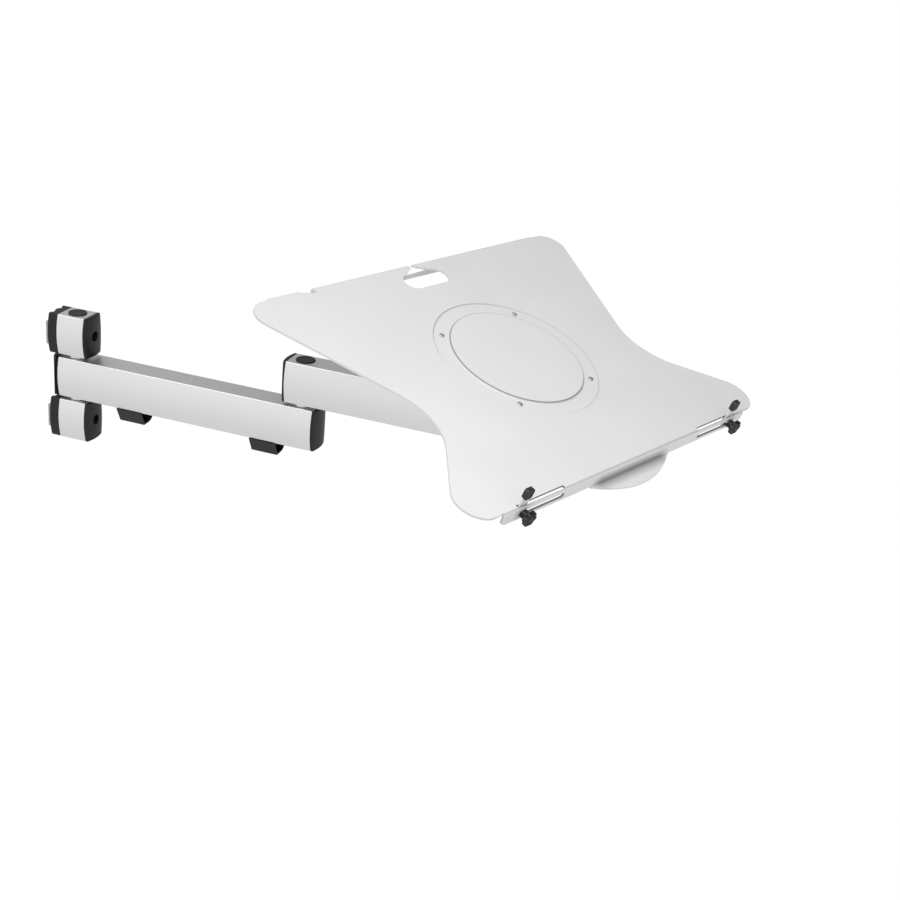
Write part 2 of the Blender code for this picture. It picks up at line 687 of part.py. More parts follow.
def add_clip(number, x, arm):
    name = f"cable_clip_{number}"
    outer = clip_outline()
    inner = offset_inwards(outer, CLIP_WALL)
    half = CLIP_LENGTH / 2
    bm = bmesh.new()
    places = ((outer, -half), (outer, half), (inner, half), (inner, -half))
    add_skin(bm, [[(x_place, y, z) for y, z in outline] for outline, x_place in places], loop=True)
    clip = add_piece(name, finish_mesh(name, bm), arm, "black_plastic", (x, 0, -HALF_HEIGHT - CLEARANCE))
    pegs = bmesh.new()
    for shift in (-CLIP_PEG_SPACING / 2, CLIP_PEG_SPACING / 2):
        outline = circle(CLIP_PEG_DIAMETER / 2, SMALL_ROUND_STEPS // 2, (shift, 0))
        add_prism(pegs, outline, -CLIP_WALL / 2, CLEARANCE + CLIP_PEG_REACH)
    boolean(clip, finish_mesh("pegs", pegs), "UNION")


def add_lower_arm(arm):
    """Lower arm on the shoulder axis, with the elbow's fixed shaft at its far end."""
    end = SHOULDER_TO_ELBOW + PIVOT_INSET
    body = add_piece("lower_arm_tube", body_tube("lower_arm_tube", -PIVOT_INSET, end), arm, "satin_aluminium")
    bore_through(body, "bush_bore", 0, BUSH_BORE)
    bore_through(body, "elbow_bore", SHOULDER_TO_ELBOW, FIXED_BORE)
    holes = bmesh.new()
    for centre in CLIP_CENTRES:
        for shift in (-CLIP_PEG_SPACING / 2, CLIP_PEG_SPACING / 2):
            outline = circle(CLIP_PEG_DIAMETER / 2 + CLEARANCE, SMALL_ROUND_STEPS // 2, (centre + shift, 0))
            add_prism(holes, outline, -HALF_HEIGHT - OVERCUT, OVERCUT + BODY_WALL - HALF_HEIGHT)
    boolean(body, finish_mesh("peg_holes", holes), "DIFFERENCE")
    add_piece("shoulder_bush", bush("shoulder_bush"), arm, "bronze_bush")
    inner = (-PIVOT_INSET, 0, 0)
    mesh = necked_cap("lower_arm_inner_cap")
    add_piece("lower_arm_inner_cap", mesh, arm, "black_plastic", inner, (0, 0, math.pi))
    add_piece("lower_arm_outer_cap", domed_cap("lower_arm_outer_cap"), arm, "black_plastic", (end, 0, 0))
    for number, centre in enumerate(CLIP_CENTRES, 1):
        add_clip(number, centre, arm)
    add_elbow_shaft(arm)


def add_elbow_shaft(arm):
    low = SHAFT_SETBACK - HALF_HEIGHT
    high = LEVEL + HALF_HEIGHT - SHAFT_SETBACK
    place = (SHOULDER_TO_ELBOW, 0, 0)
    mesh = tube("elbow_shaft", SHAFT_RADIUS, SHAFT_BORE / 2, low, high)
    add_piece("elbow_shaft", mesh, arm, "bright_steel", place)
    faces = add_empty("elbow_faces", arm, place)
    add_pivot_cap("elbow_top_cap", faces, LEVEL + HALF_HEIGHT)
    add_pivot_cap("elbow_bottom_cap", faces, -HALF_HEIGHT, downwards=True)
    washer_place = (SHOULDER_TO_ELBOW, 0, LEVEL / 2)
    add_piece("elbow_washer", spacer("elbow_washer"), arm, "bright_steel", washer_place)


def add_upper_arm(arm):
    """Upper arm on the elbow axis, with bushes at both ends."""
    end = ELBOW_TO_HEAD + PIVOT_INSET
    body = add_piece("upper_arm_tube", body_tube("upper_arm_tube", -PIVOT_INSET, end), arm, "satin_aluminium")
    bore_through(body, "elbow_bush_bore", 0, BUSH_BORE)
    bore_through(body, "head_bush_bore", ELBOW_TO_HEAD, BUSH_BORE)
    add_piece("elbow_bush", bush("elbow_bush"), arm, "bronze_bush")
    add_piece("head_bush", bush("head_bush"), arm, "bronze_bush", (ELBOW_TO_HEAD, 0, 0))
    inner = (-PIVOT_INSET, 0, 0)
    mesh = domed_cap("upper_arm_inner_cap")
    add_piece("upper_arm_inner_cap", mesh, arm, "black_plastic", inner, (0, 0, math.pi))
    add_piece("upper_arm_outer_cap", domed_cap("upper_arm_outer_cap"), arm, "black_plastic", (end, 0, 0))


def yoke_base_bottom():
    return HALF_HEIGHT + STACK_GAP


def tilt_axis_level():
    return yoke_base_bottom() + YOKE_BASE_THICKNESS + TILT_AXIS_HEIGHT


def lug_outline(foot):
    """Round-ended lug as (y, z) points about the tilt axis, reaching down or up to a foot."""
    side = -1 if foot < 0 else 1
    start = 180 if foot < 0 else 0
    end = arc((0, 0), EAR_RADIUS, start, start - 180, FILLET_STEPS * 2)
    return end + [(-side * EAR_RADIUS, foot), (side * EAR_RADIUS, foot)]


def add_head(head):
    """Spindle, washer, yoke, tilt bolt, nut and friction washers; +X here is the tilt axis' direction."""
    base = yoke_base_bottom()
    top = base + YOKE_BASE_THICKNESS
    axis = tilt_axis_level()
    low = SHAFT_SETBACK - HALF_HEIGHT
    mesh = tube("head_spindle", SHAFT_RADIUS, SHAFT_BORE / 2, low, top - SHAFT_SETBACK)
    add_piece("head_spindle", mesh, head, "bright_steel")
    add_pivot_cap("head_bottom_cap", head, -HALF_HEIGHT, downwards=True)
    add_piece("head_washer", spacer("head_washer"), head, "bright_steel", (0, 0, HALF_HEIGHT + STACK_GAP / 2))

    yoke_mesh = tube("tilt_yoke", YOKE_BASE_DIAMETER / 2, FIXED_BORE, base, top)
    yoke = add_piece("tilt_yoke", yoke_mesh, head, "dark_steel")
    ears = bmesh.new()
    outline = [(y, z + axis) for y, z in lug_outline(top - YOKE_BASE_THICKNESS / 2 - axis)]
    add_prism(ears, outline, EAR_INNER, EAR_OUTER, "X")
    add_prism(ears, outline, -EAR_OUTER, -EAR_INNER, "X")
    boolean(yoke, finish_mesh("ears", ears), "UNION")
    hole = TILT_BOLT_DIAMETER / 2 + CLEARANCE
    reach = EAR_OUTER + OVERCUT
    boolean(yoke, cylinder("bolt_hole", hole, -reach, reach, "X", shift=(0, 0, axis)), "DIFFERENCE")

    add_tilt_bolt(head, axis)
    washer = FRICTION_WASHER / 2
    middle = KNUCKLE_WIDTH / 2 + CLEARANCE + washer
    for side, name in ((-1, "left_friction_washer"), (1, "right_friction_washer")):
        mesh = tube(name, FRICTION_WASHER_DIAMETER / 2, hole, -washer, washer)
        mesh.transform(along("X"))
        add_piece(name, mesh, head, "dark_steel", (side * middle, 0, axis))


def add_tilt_bolt(head, axis):
    seat = EAR_OUTER + CLEARANCE
    shank = TILT_BOLT_DIAMETER / 2
    rim = TILT_HEAD_DIAMETER / 2
    edge = BROKEN_EDGE
    back = -seat - TILT_HEAD_HEIGHT
    tip = seat + TILT_NUT_HEIGHT + TILT_BOLT_END
    profile = [(0, back), (rim - edge, back), (rim, back + edge), (rim, -seat), (shank, -seat)]
    profile += [(shank, tip - edge), (shank - edge, tip), (0, tip)]
    add_piece("tilt_bolt", turned("tilt_bolt", profile, axis="X"), head, "bright_steel", (0, 0, axis))
    mesh = prism("tilt_nut", hexagon(TILT_NUT_FLATS), seat, seat + TILT_NUT_HEIGHT, "X")
    nut = add_piece("tilt_nut", mesh, head, "bright_steel", (0, 0, axis))
    reach = seat + TILT_NUT_HEIGHT + OVERCUT
    boolean(nut, cylinder("thread", shank + CLEARANCE, seat - OVERCUT, reach, "X"), "DIFFERENCE")


def screw_places():
    half = TRAY_SCREW_SPACING / 2
    return [(x, y) for x in (-half, half) for y in (-half, half)]


def add_carrier(tray):
    """Plate under the tray with a knuckle that reaches down to the tilt bolt."""
    half = CARRIER_SIZE / 2
    bottom = -CARRIER_TOP - CARRIER_THICKNESS
    outline = rounded_rectangle(-half, half, -half, half, CARRIER_CORNER, FILLET_STEPS // 2)
    top = (0, 0, TRAY_RISE)
    mesh = prism("tray_carrier", outline, bottom, -CARRIER_TOP)
    carrier = add_piece("tray_carrier", mesh, tray, "dark_steel", top)
    foot = TRAY_RISE + bottom + CARRIER_THICKNESS / 2
    lug = [(y, z - TRAY_RISE) for y, z in lug_outline(foot)]
    width = KNUCKLE_WIDTH / 2
    boolean(carrier, prism("knuckle", lug, -width, width, "X"), "UNION")
    hole = TILT_BOLT_DIAMETER / 2 + CLEARANCE
    reach = width + OVERCUT
    boolean(carrier, cylinder("bolt_hole", hole, -reach, reach, "X", shift=(0, 0, -TRAY_RISE)), "DIFFERENCE")
    holes = bmesh.new()
    for place in screw_places():
        outline = circle(TRAY_SCREW_DIAMETER / 2 + CLEARANCE, SMALL_ROUND_STEPS, place)
        add_prism(holes, outline, bottom - OVERCUT, OVERCUT - CARRIER_TOP)
    boolean(carrier, finish_mesh("screw_holes", holes), "DIFFERENCE")


def add_tray_screws(tray):
    seat = CLEARANCE - PRESS_DEPTH
    tip = -CARRIER_TOP - CARRIER_THICKNESS - TRAY_SCREW_END
    shank = TRAY_SCREW_DIAMETER / 2
    rim = TRAY_SCREW_HEAD / 2
    top = seat + TRAY_SCREW_HEAD_HEIGHT
    edge = TRAY_SCREW_HEAD_HEIGHT / 2
    recess = TRAY_SCREW_RECESS / 2
    profile = [(0, tip), (shank, tip), (shank, seat), (rim, seat), (rim, top - edge), (rim - edge, top)]
    profile += [(recess, top), (recess, top - edge), (0, top - edge)]
    for number, (x, y) in enumerate(screw_places(), 1):
        name = f"tray_screw_{number}"
        add_piece(name, turned(name, profile, SMALL_ROUND_STEPS), tray, "bright_steel", (x, y, TRAY_RISE))


def flange_stations(half, corner, depth):
    """Places along a flange and its depth at each, rounded at both lower corners."""
    turn = [math.radians(90 * i / BEND_STEPS) for i in range(BEND_STEPS + 1)]
    right = [(half - corner * (1 - math.sin(a)), depth - corner * (1 - math.cos(a))) for a in turn]
    return [(-x, d) for x, d in reversed(right)] + right


def flange_section(bend, side, depth):
    """(y, z) points of a flange bent down from the sheet: outside first, back along its inside."""
    outside = BEND_RADIUS
    inside = BEND_RADIUS - SHEET
    turn = [math.radians(90 * i / BEND_STEPS) for i in range(BEND_STEPS + 1)]
    points = [(bend + side * outside * math.sin(a), outside * (math.cos(a) - 1)) for a in turn]
    points += [(bend + side * outside, -depth), (bend + side * inside, -depth)]
    points += [(bend + side * inside * math.sin(a), inside * math.cos(a) - outside) for a in reversed(turn)]
    return points


def add_flange(bm, stations, bend, side):
    """Flange strip that shares its open edge with the plate."""
    rows = []
    for x, depth in stations:
        rows.append([bm.verts.new((x, y, z)) for y, z in flange_section(bend, side, depth)])
    for left, right in zip(rows, rows[1:]):
        for i in range(len(left) - 1):
            bm.faces.new((left[i], left[i + 1], right[i + 1], right[i]))
    bm.faces.new(rows[0])
    bm.faces.new(rows[-1])


def side_bearing(corner, radius, waist):
    """Bearing of the side's normal, in degrees, where one line touches a corner's arc and the waist's."""
    across, along_side = waist[0] - corner[0], abs(waist[1] - corner[1])
    spread = math.acos((radius + WAIST_RADIUS) / math.hypot(across, along_side))
    return math.degrees(math.atan2(along_side, across) - spread)


def tray_side():
    """Right-hand side of the plate from front to rear: corner arc, waist arc, corner arc."""
    waist = (WAIST_HALF + WAIST_RADIUS, -WAIST_FORWARD)
    front = (FRONT_FLANGE_HALF + FRONT_CORNER_OUT, FRONT_CORNER_RADIUS - FRONT_EDGE)
    rear = (REAR_FLANGE_HALF + REAR_CORNER_OUT, REAR_EDGE - REAR_CORNER_RADIUS)
    front_bearing = side_bearing(front, FRONT_CORNER_RADIUS, waist)
    rear_bearing = side_bearing(rear, REAR_CORNER_RADIUS, waist)
    points = arc(front, FRONT_CORNER_RADIUS, -90, front_bearing, FILLET_STEPS)
    points += arc(waist, WAIST_RADIUS, 180 + front_bearing, 180 - rear_bearing, WAIST_STEPS)
    return points + arc(rear, REAR_CORNER_RADIUS, -rear_bearing, 90, FILLET_STEPS)


def tray_mesh():
    """Plate with both flanges as one bent sheet."""
    front = flange_stations(FRONT_FLANGE_HALF, FRONT_FLANGE_CORNER, FRONT_FLANGE_DEPTH)
    rear = flange_stations(REAR_FLANGE_HALF, REAR_FLANGE_CORNER, REAR_FLANGE_DEPTH)
    relief = FRONT_FLANGE_HALF + BEND_RELIEF
    side = [(relief, FRONT_BEND), (relief, -FRONT_EDGE)] + tray_side()
    front_line = [(x, FRONT_BEND) for x, _ in front]
    rear_line = [(x, REAR_EDGE) for x, _ in reversed(rear)]
    outline = front_line + side + rear_line + [(-x, y) for x, y in reversed(side)]

    bm = bmesh.new()
    top = [bm.verts.new((x, y, 0)) for x, y in outline]
    bottom = [bm.verts.new((x, y, -SHEET)) for x, y in outline]
    bm.faces.new(top)
    bm.faces.new(bottom[::-1])
    rear_start = len(front_line) + len(side)
    open_edges = set(range(len(front_line) - 1)) | set(range(rear_start, rear_start + len(rear_line) - 1))
    for i in set(range(len(outline))) - open_edges:
        j = (i + 1) % len(outline)
        bm.faces.new((bottom[i], bottom[j], top[j], top[i]))
    add_flange(bm, front, FRONT_BEND, -1)
    add_flange(bm, rear, REAR_EDGE, 1)
    return finish_mesh("tray_sheet", bm)


def press_ring(sheet):
    """Pressed ring, sunk by its depth, round a raised disc; the sheet keeps its thickness."""
    groove = PRESS_RADIUS
    disc = DISC_RADIUS
    floor = -PRESS_DEPTH
    under = floor - SHEET
    inside = disc - SHEET
    middle = floor / 2
    below = [(inside - SHEET, under), (groove + DISC_RISE - PRESS_DEPTH, under), (groove + SHEET, -SHEET)]
    below += [(groove + SHEET, middle - SHEET / 2), (inside - SHEET, middle - SHEET / 2)]
    boolean(sheet, turned("ring_underside", below, PRESS_STEPS), "UNION")
    above = [(inside, floor), (groove - PRESS_DEPTH, floor), (groove + OVERCUT, OVERCUT), (inside, OVERCUT)]
    boolean(sheet, turned("ring_groove", above, PRESS_STEPS), "DIFFERENCE")
    half_run = (PRESS_DEPTH + DISC_RISE) * PRESS_LEAN / 2
    foot = floor - PRESS_ROOT
    foot_radius = disc + half_run + PRESS_ROOT * PRESS_LEAN
    raised = [(0, foot), (foot_radius, foot), (disc - half_run, DISC_RISE), (0, DISC_RISE)]
    boolean(sheet, turned("raised_disc", raised, PRESS_STEPS), "UNION")
    hollow_top = DISC_RISE - SHEET
    hollow = [(0, under - OVERCUT), (inside + OVERCUT, under - OVERCUT)]
    hollow += [(inside - DISC_RISE * PRESS_LEAN, hollow_top), (0, hollow_top)]
    boolean(sheet, turned("disc_underside", hollow, PRESS_STEPS), "DIFFERENCE")


def cable_hole_outline():
    """Wide rounded hole whose upper sides run together into a slit through the rear edge."""
    half = SLIT_WIDTH / 2
    centre = (HOLE_HALF - HOLE_CORNER, HOLE_BOTTOM + HOLE_CORNER)
    away = (half - centre[0], HOLE_THROAT - centre[1])
    bearing = math.degrees(math.atan2(away[1], away[0]))
    leave = bearing - math.degrees(math.acos(HOLE_CORNER / math.hypot(*away)))
    edge = REAR_EDGE + BEND_RADIUS + OVERCUT
    right = arc(centre, HOLE_CORNER, -90, leave, FILLET_STEPS) + [(half, HOLE_THROAT), (half, edge)]
    return right + [(-x, y) for x, y in reversed(right)]


def cut_tray(sheet):
    """Cable hole, rear cut-out, notch, stop slots and screw holes."""
    middle = -(CUTOUT_TOP + CUTOUT_BOTTOM) / 2
    boolean(sheet, prism("cable_hole", cable_hole_outline(), middle, OVERCUT), "DIFFERENCE")
    radius = (CUTOUT_BOTTOM - CUTOUT_TOP) / 2 * ROUND_END_SHARE
    outline = rounded_rectangle(-CUTOUT_LEFT, CUTOUT_RIGHT, -CUTOUT_BOTTOM, -CUTOUT_TOP, radius)
    back = REAR_EDGE + BEND_RADIUS + OVERCUT
    boolean(sheet, prism("rear_cutout", outline, REAR_EDGE - OVERCUT, back, "Y"), "DIFFERENCE")

    cuts = bmesh.new()
    floor = REAR_EDGE + BEND_RADIUS - NOTCH_DEPTH
    notch = [(-NOTCH_LEFT, REAR_EDGE), (-NOTCH_RIGHT - NOTCH_FLOOR, floor), (-NOTCH_RIGHT, floor)]
    notch += [(-NOTCH_RIGHT, back), (-NOTCH_LEFT, back)]
    add_prism(cuts, notch, -NOTCH_DROP, OVERCUT)
    slot_bottom = -BEND_RADIUS - (FLANGE_SLOT_LEVEL - FLANGE_SLOT_HEIGHT / 2 - BEND_RADIUS) / 2
    slot_half = FLANGE_SLOT_HEIGHT / 2
    for side in (-1, 1):
        low, high = sorted((SLOT_OFFSET + side * SLOT_INNER, SLOT_OFFSET + side * SLOT_OUTER))
        add_prism(cuts, rectangle(low, high, -TOP_SLOT_FRONT, -TOP_SLOT_BACK), slot_bottom, OVERCUT)
    for place in screw_places():
        outline = circle(TRAY_SCREW_DIAMETER / 2 + CLEARANCE, SMALL_ROUND_STEPS, place)
        add_prism(cuts, outline, -TRAY_BOTTOM - OVERCUT, OVERCUT)
    boolean(sheet, finish_mesh("openings", cuts), "DIFFERENCE")

    slots = bmesh.new()
    for side in (-1, 1):
        low, high = sorted((SLOT_OFFSET + side * SLOT_INNER, SLOT_OFFSET + side * FLANGE_SLOT_OUTER))
        level = -FLANGE_SLOT_LEVEL
        end_radius = slot_half * ROUND_END_SHARE
        outline = rounded_rectangle(low, high, level - slot_half, level + slot_half, end_radius)
        add_prism(slots, outline, -FRONT_FACE - OVERCUT, SHEET + OVERCUT - FRONT_FACE, "Y")
    boolean(sheet, finish_mesh("flange_slots", slots), "DIFFERENCE")


def add_tray_sheet(tray):
    sheet = add_piece("tray_sheet", tray_mesh(), tray, "white_powder_coat", (0, 0, TRAY_RISE))
    press_ring(sheet)
    radius = (TAB_HALF**2 + TAB_REACH**2) / (2 * TAB_REACH)
    turn = math.degrees(math.asin(TAB_HALF / radius))
    centre = (0, radius - TAB_REACH - FRONT_FACE)
    root_y = SHEET * TAB_ROOT_SHARE - FRONT_FACE
    outline = [(TAB_HALF, root_y), (-TAB_HALF, root_y)]
    outline += arc(centre, radius, -90 - turn, turn - 90, FILLET_STEPS * 2)
    boolean(sheet, prism("tab", outline, -TAB_LEVEL - SHEET, -TAB_LEVEL), "UNION")
    cut_tray(sheet)


def leaf_outline():
    """Stop leaf from the front: a broad foot and a narrower tongue that the pad sits on."""
    half = LEAF_WIDTH / 2
    tongue = TONGUE_WIDTH / 2
    right = [(half, -LEAF_DROP), (half, LEAF_SHOULDER), (tongue, LEAF_SHOULDER), (tongue, TONGUE_TOP)]
    return right + [(-x, z) for x, z in reversed(right)]


def pad_outline():
    half = PAD_WIDTH / 2
    right = [(half - PAD_CHAMFER, PAD_BOTTOM), (half, PAD_BOTTOM + PAD_CHAMFER)]
    right += [(half, PAD_TOP - PAD_CHAMFER), (half - PAD_CHAMFER, PAD_TOP)]
    return right + [(-x, z) for x, z in reversed(right)]


def add_stop(name, stop):
    """Leaf through the slots, rubber pad over its tongue, and the bolt that the knob pulls."""
    leaf_back = LEAF_FRONT + LEAF_THICKNESS
    mesh = prism(f"{name}_stop_leaf", leaf_outline(), LEAF_FRONT, leaf_back, "Y")
    leaf = add_piece(f"{name}_stop_leaf", mesh, stop, "white_powder_coat")
    level = (0, 0, -FLANGE_SLOT_LEVEL)
    radius = STOP_BOLT_DIAMETER / 2 + CLEARANCE
    start = -leaf_back - OVERCUT
    hole = cylinder("bolt_hole", radius, start, OVERCUT - LEAF_FRONT, "-Y", SMALL_ROUND_STEPS, level)
    boolean(leaf, hole, "DIFFERENCE")

    middle = LEAF_FRONT + LEAF_THICKNESS / 2
    low, high = middle - PAD_THICKNESS / 2, middle + PAD_THICKNESS / 2
    mesh = prism(f"{name}_stop_pad", pad_outline(), low, high, "Y")
    pad = add_piece(f"{name}_stop_pad", mesh, stop, "black_rubber")
    pocket_half = TONGUE_WIDTH / 2 + CLEARANCE
    pocket = rectangle(-pocket_half, pocket_half, LEAF_FRONT - CLEARANCE, leaf_back + CLEARANCE)
    boolean(pad, prism("pocket", pocket, PAD_BOTTOM - OVERCUT, TONGUE_TOP + CLEARANCE), "DIFFERENCE")

    seat = leaf_back + CLEARANCE
    shank = STOP_BOLT_DIAMETER / 2
    rim = STOP_BOLT_HEAD / 2
    tip = FRONT_FACE + CLEARANCE + STOP_BOLT_ENGAGED
    profile = [(0, -seat - STOP_BOLT_HEAD_HEIGHT), (rim, -seat - STOP_BOLT_HEAD_HEIGHT), (rim, -seat)]
    profile += [(shank, -seat), (shank, tip), (0, tip)]
    mesh = turned(f"{name}_stop_bolt", profile, SMALL_ROUND_STEPS, "-Y")
    add_piece(f"{name}_stop_bolt", mesh, stop, "bright_steel", level)


def knob_mesh(name):
    """Lobed knob along its bolt: blind bore, neck, chamfered lobed head, ring groove in its face."""
    steps = KNOB_LOBES * KNOB_LOBE_STEPS
    bore = STOP_BOLT_DIAMETER / 2 + CLEARANCE
    neck = KNOB_NECK_DIAMETER / 2
    head_end = KNOB_NECK_LENGTH + KNOB_HEAD_LENGTH
    outer = KNOB_DIAMETER / 2

    def lobed(reach, height):
        points = []
        for i in range(steps):
            angle = 2 * math.pi * i / steps
            radius = reach - KNOB_LOBE_DEPTH * (1 - math.cos(KNOB_LOBES * angle)) / 2
            points.append((radius * math.cos(angle), radius * math.sin(angle), height))
        return points

    def round_ring(radius, height):
        return [(x, y, height) for x, y in circle(radius, steps)]

    ring_inner = KNOB_RING_OUTER - KNOB_RING_WIDTH
    rings = [
        round_ring(bore, STOP_BOLT_ENGAGED + CLEARANCE),
        round_ring(bore, 0),
        round_ring(neck, 0),
        round_ring(neck, KNOB_NECK_LENGTH),
        lobed(outer - KNOB_CHAMFER, KNOB_NECK_LENGTH),
        lobed(outer, KNOB_NECK_LENGTH + KNOB_CHAMFER),
        lobed(outer, head_end - KNOB_CHAMFER),
        lobed(outer - KNOB_CHAMFER, head_end),
        round_ring(KNOB_RING_OUTER, head_end),
        round_ring(KNOB_RING_OUTER, head_end - KNOB_RING_DEPTH),
        round_ring(ring_inner, head_end - KNOB_RING_DEPTH),
        round_ring(ring_inner, head_end),
    ]
    bm = bmesh.new()
    add_skin(bm, rings)
    return finish_mesh(name, bm, along("-Y"))


def build():
    clear_scene()
    root = add_empty("column_face", None, (0, 0, 0))
    for side in (1, -1):
        add_block(side, root)
    add_shoulder(root)

    lower_arm = add_empty("shoulder_axis", root, (SHOULDER_X, 0, 0))
    add_lower_arm(lower_arm)
    upper_arm = add_empty("elbow_axis", lower_arm, (SHOULDER_TO_ELBOW, 0, LEVEL))
    add_upper_arm(upper_arm)
    head = add_empty("head_axis", upper_arm, (ELBOW_TO_HEAD, 0, 0), (0, 0, math.radians(HEAD_YAW)))
    add_head(head)
    tray = add_empty("tilt_axis", head, (0, 0, tilt_axis_level()), (math.radians(TRAY_TILT), 0, 0))
    add_carrier(tray)
    add_tray_screws(tray)
    add_tray_sheet(tray)
    for side, name in ((-1, "left"), (1, "right")):
        stop = add_empty(f"{name}_stop_slide", tray, (SLOT_OFFSET + side * STOP_OUT, 0, TRAY_RISE))
        add_stop(name, stop)
        knob_place = (0, -FRONT_FACE - CLEARANCE, -FLANGE_SLOT_LEVEL)
        knob = add_empty(f"{name}_knob_axis", stop, knob_place)
        add_piece(f"{name}_stop_knob", knob_mesh(f"{name}_stop_knob"), knob, "black_plastic")


build()
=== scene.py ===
import json
import math

import bmesh
import bpy
import numpy as np
from mathutils import Matrix, Vector
from mathutils.geometry import delaunay_2d_cdt

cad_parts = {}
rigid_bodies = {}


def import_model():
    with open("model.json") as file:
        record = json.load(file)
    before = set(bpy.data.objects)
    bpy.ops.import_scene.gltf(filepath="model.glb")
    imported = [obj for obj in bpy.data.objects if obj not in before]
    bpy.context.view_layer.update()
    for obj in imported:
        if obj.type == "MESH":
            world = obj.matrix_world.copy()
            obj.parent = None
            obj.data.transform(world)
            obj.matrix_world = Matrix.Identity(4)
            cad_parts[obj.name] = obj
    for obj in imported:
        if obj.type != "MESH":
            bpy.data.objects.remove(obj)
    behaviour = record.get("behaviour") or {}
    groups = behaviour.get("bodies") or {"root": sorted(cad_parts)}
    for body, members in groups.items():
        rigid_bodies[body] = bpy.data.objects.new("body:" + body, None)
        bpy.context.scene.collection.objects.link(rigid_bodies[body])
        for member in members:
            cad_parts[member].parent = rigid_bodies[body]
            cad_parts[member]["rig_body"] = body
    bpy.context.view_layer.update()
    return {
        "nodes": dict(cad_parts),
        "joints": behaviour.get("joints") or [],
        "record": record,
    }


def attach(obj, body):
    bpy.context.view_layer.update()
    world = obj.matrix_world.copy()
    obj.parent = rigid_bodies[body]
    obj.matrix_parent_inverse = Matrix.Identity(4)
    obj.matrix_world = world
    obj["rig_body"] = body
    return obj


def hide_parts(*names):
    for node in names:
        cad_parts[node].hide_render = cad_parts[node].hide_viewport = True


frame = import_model()
nodes = frame["nodes"]
joints = {joint["name"]: joint for joint in frame["joints"]}
slotOf = {part["node"]: part["material_slot"] for part in frame["record"]["subparts"]}

# sizes that several pieces share, in metres
shared = {
    "gap": 0.0003,  # seam between neighbours
    "merge": 0.000002,
    "level": 0.0445,  # from one arm's mid height to the next
    "shaft": 0.0073,  # radius of the shafts
    "round": 96,  # steps round a turned piece
    "small": 48,  # steps round a small one
    "beyond": 0.001,  # how far a cutter stands out
    "flatAngle": 0.8,  # faces within it are joined
}


# places of the pieces

def turnAbout(axis, degrees):
    return np.array(Matrix.Rotation(math.radians(degrees), 3, axis))


def jointPlace(name):
    return np.array(joints[name]["pos_m"])


upright = np.eye(3)
alongX = turnAbout("Y", 90)
trayPose = {"yaw": 67.5, "tilt": 20.0, "rise": 0.026}
shoulder = jointPlace("shoulder_swivel")
elbow = jointPlace("elbow_swivel")
tiltAxis = jointPlace("tray_tilt")
headFoot = np.array([tiltAxis[0], tiltAxis[1], elbow[2]])
headTurn = turnAbout("Z", trayPose["yaw"])
trayTurn = headTurn @ turnAbout("X", trayPose["tilt"])
trayTop = tiltAxis + trayTurn @ np.array([0, 0, trayPose["rise"]])
blocks = {
    "upper": shoulder + (0, 0, shared["level"]),
    "lower": shoulder - (0, 0, shared["level"]),
}


def onTray(x, y, z):
    # a place in the tray's own axes
    return trayTop + trayTurn @ np.array([x, y, z])


# meshes from arrays

def gridFaces(rows, columns, closeAround, closeAlong):
    # quads of a grid: a point, its neighbour in the row, and the same two in the next row
    index = np.arange(rows * columns).reshape(rows, columns)
    beside = np.roll(index, -1, axis=1)
    above = np.roll(index, -1, axis=0)
    both = np.roll(above, -1, axis=1)
    quads = np.stack([index, beside, both, above], axis=-1)
    quads = quads if closeAlong else quads[:-1]
    quads = quads if closeAround else quads[:, :-1]
    return quads.reshape(-1, 4).tolist()


def gridMesh(grid, closeAround=True, closeAlong=False, ends=True):
    # a skin through a (rows, columns, 3) grid, with a face over the first and the last row
    rows, columns = grid.shape[:2]
    faces = gridFaces(rows, columns, closeAround, closeAlong)
    if ends and not closeAlong:
        faces.append(list(range(columns))[::-1])
        faces.append(list(range((rows - 1) * columns, rows * columns)))
    return grid.reshape(-1, 3), faces


def cleanMesh(mesh, outward=True):
    # merges the seams and the poles, drops faces without area, and turns the rest outwards
    bm = bmesh.new()
    bm.from_mesh(mesh)
    bmesh.ops.remove_doubles(bm, verts=bm.verts, dist=shared["merge"])
    bmesh.ops.dissolve_degenerate(bm, edges=bm.edges, dist=shared["merge"] / 2)
    if outward:
        bmesh.ops.recalc_face_normals(bm, faces=bm.faces)
    bm.to_mesh(mesh)
    bm.free()


def addObject(name, data):
    piece = bpy.data.objects.new(name, data)
    bpy.context.scene.collection.objects.link(piece)
    return piece


def makePiece(name, points, faces, turn=upright, shift=(0, 0, 0)):
    # every point is turned, then moved to its place in the row frame
    mesh = bpy.data.meshes.new(name)
    mesh.from_pydata((points @ turn.T + np.array(shift)).tolist(), [], faces)
    cleanMesh(mesh)
    return addObject(name, mesh)


def addModifier(piece, kind, **values):
    modifier = piece.modifiers.new(kind.lower(), kind)
    for key, value in values.items():
        setattr(modifier, key, value)
    return modifier


def applyModifiers(piece):
    graph = bpy.context.evaluated_depsgraph_get()
    mesh = bpy.data.meshes.new_from_object(piece.evaluated_get(graph))
    piece.modifiers.clear()
    piece.data = mesh


def cutHole(piece, radius, low, high, turn=upright, shift=(0, 0, 0), steps=None):
    # a cylinder, or with six steps a hexagon, is taken away from the piece
    profile = [(0, low), (radius, low), (radius, high), (0, high)]
    cutter = makePiece("cutter", *turnedMesh(profile, steps), turn, shift)
    addModifier(piece, "BOOLEAN", object=cutter, operation="DIFFERENCE", solver="EXACT")
    applyModifiers(piece)
    bpy.data.objects.remove(cutter)
    cleanMesh(piece.data, outward=False)


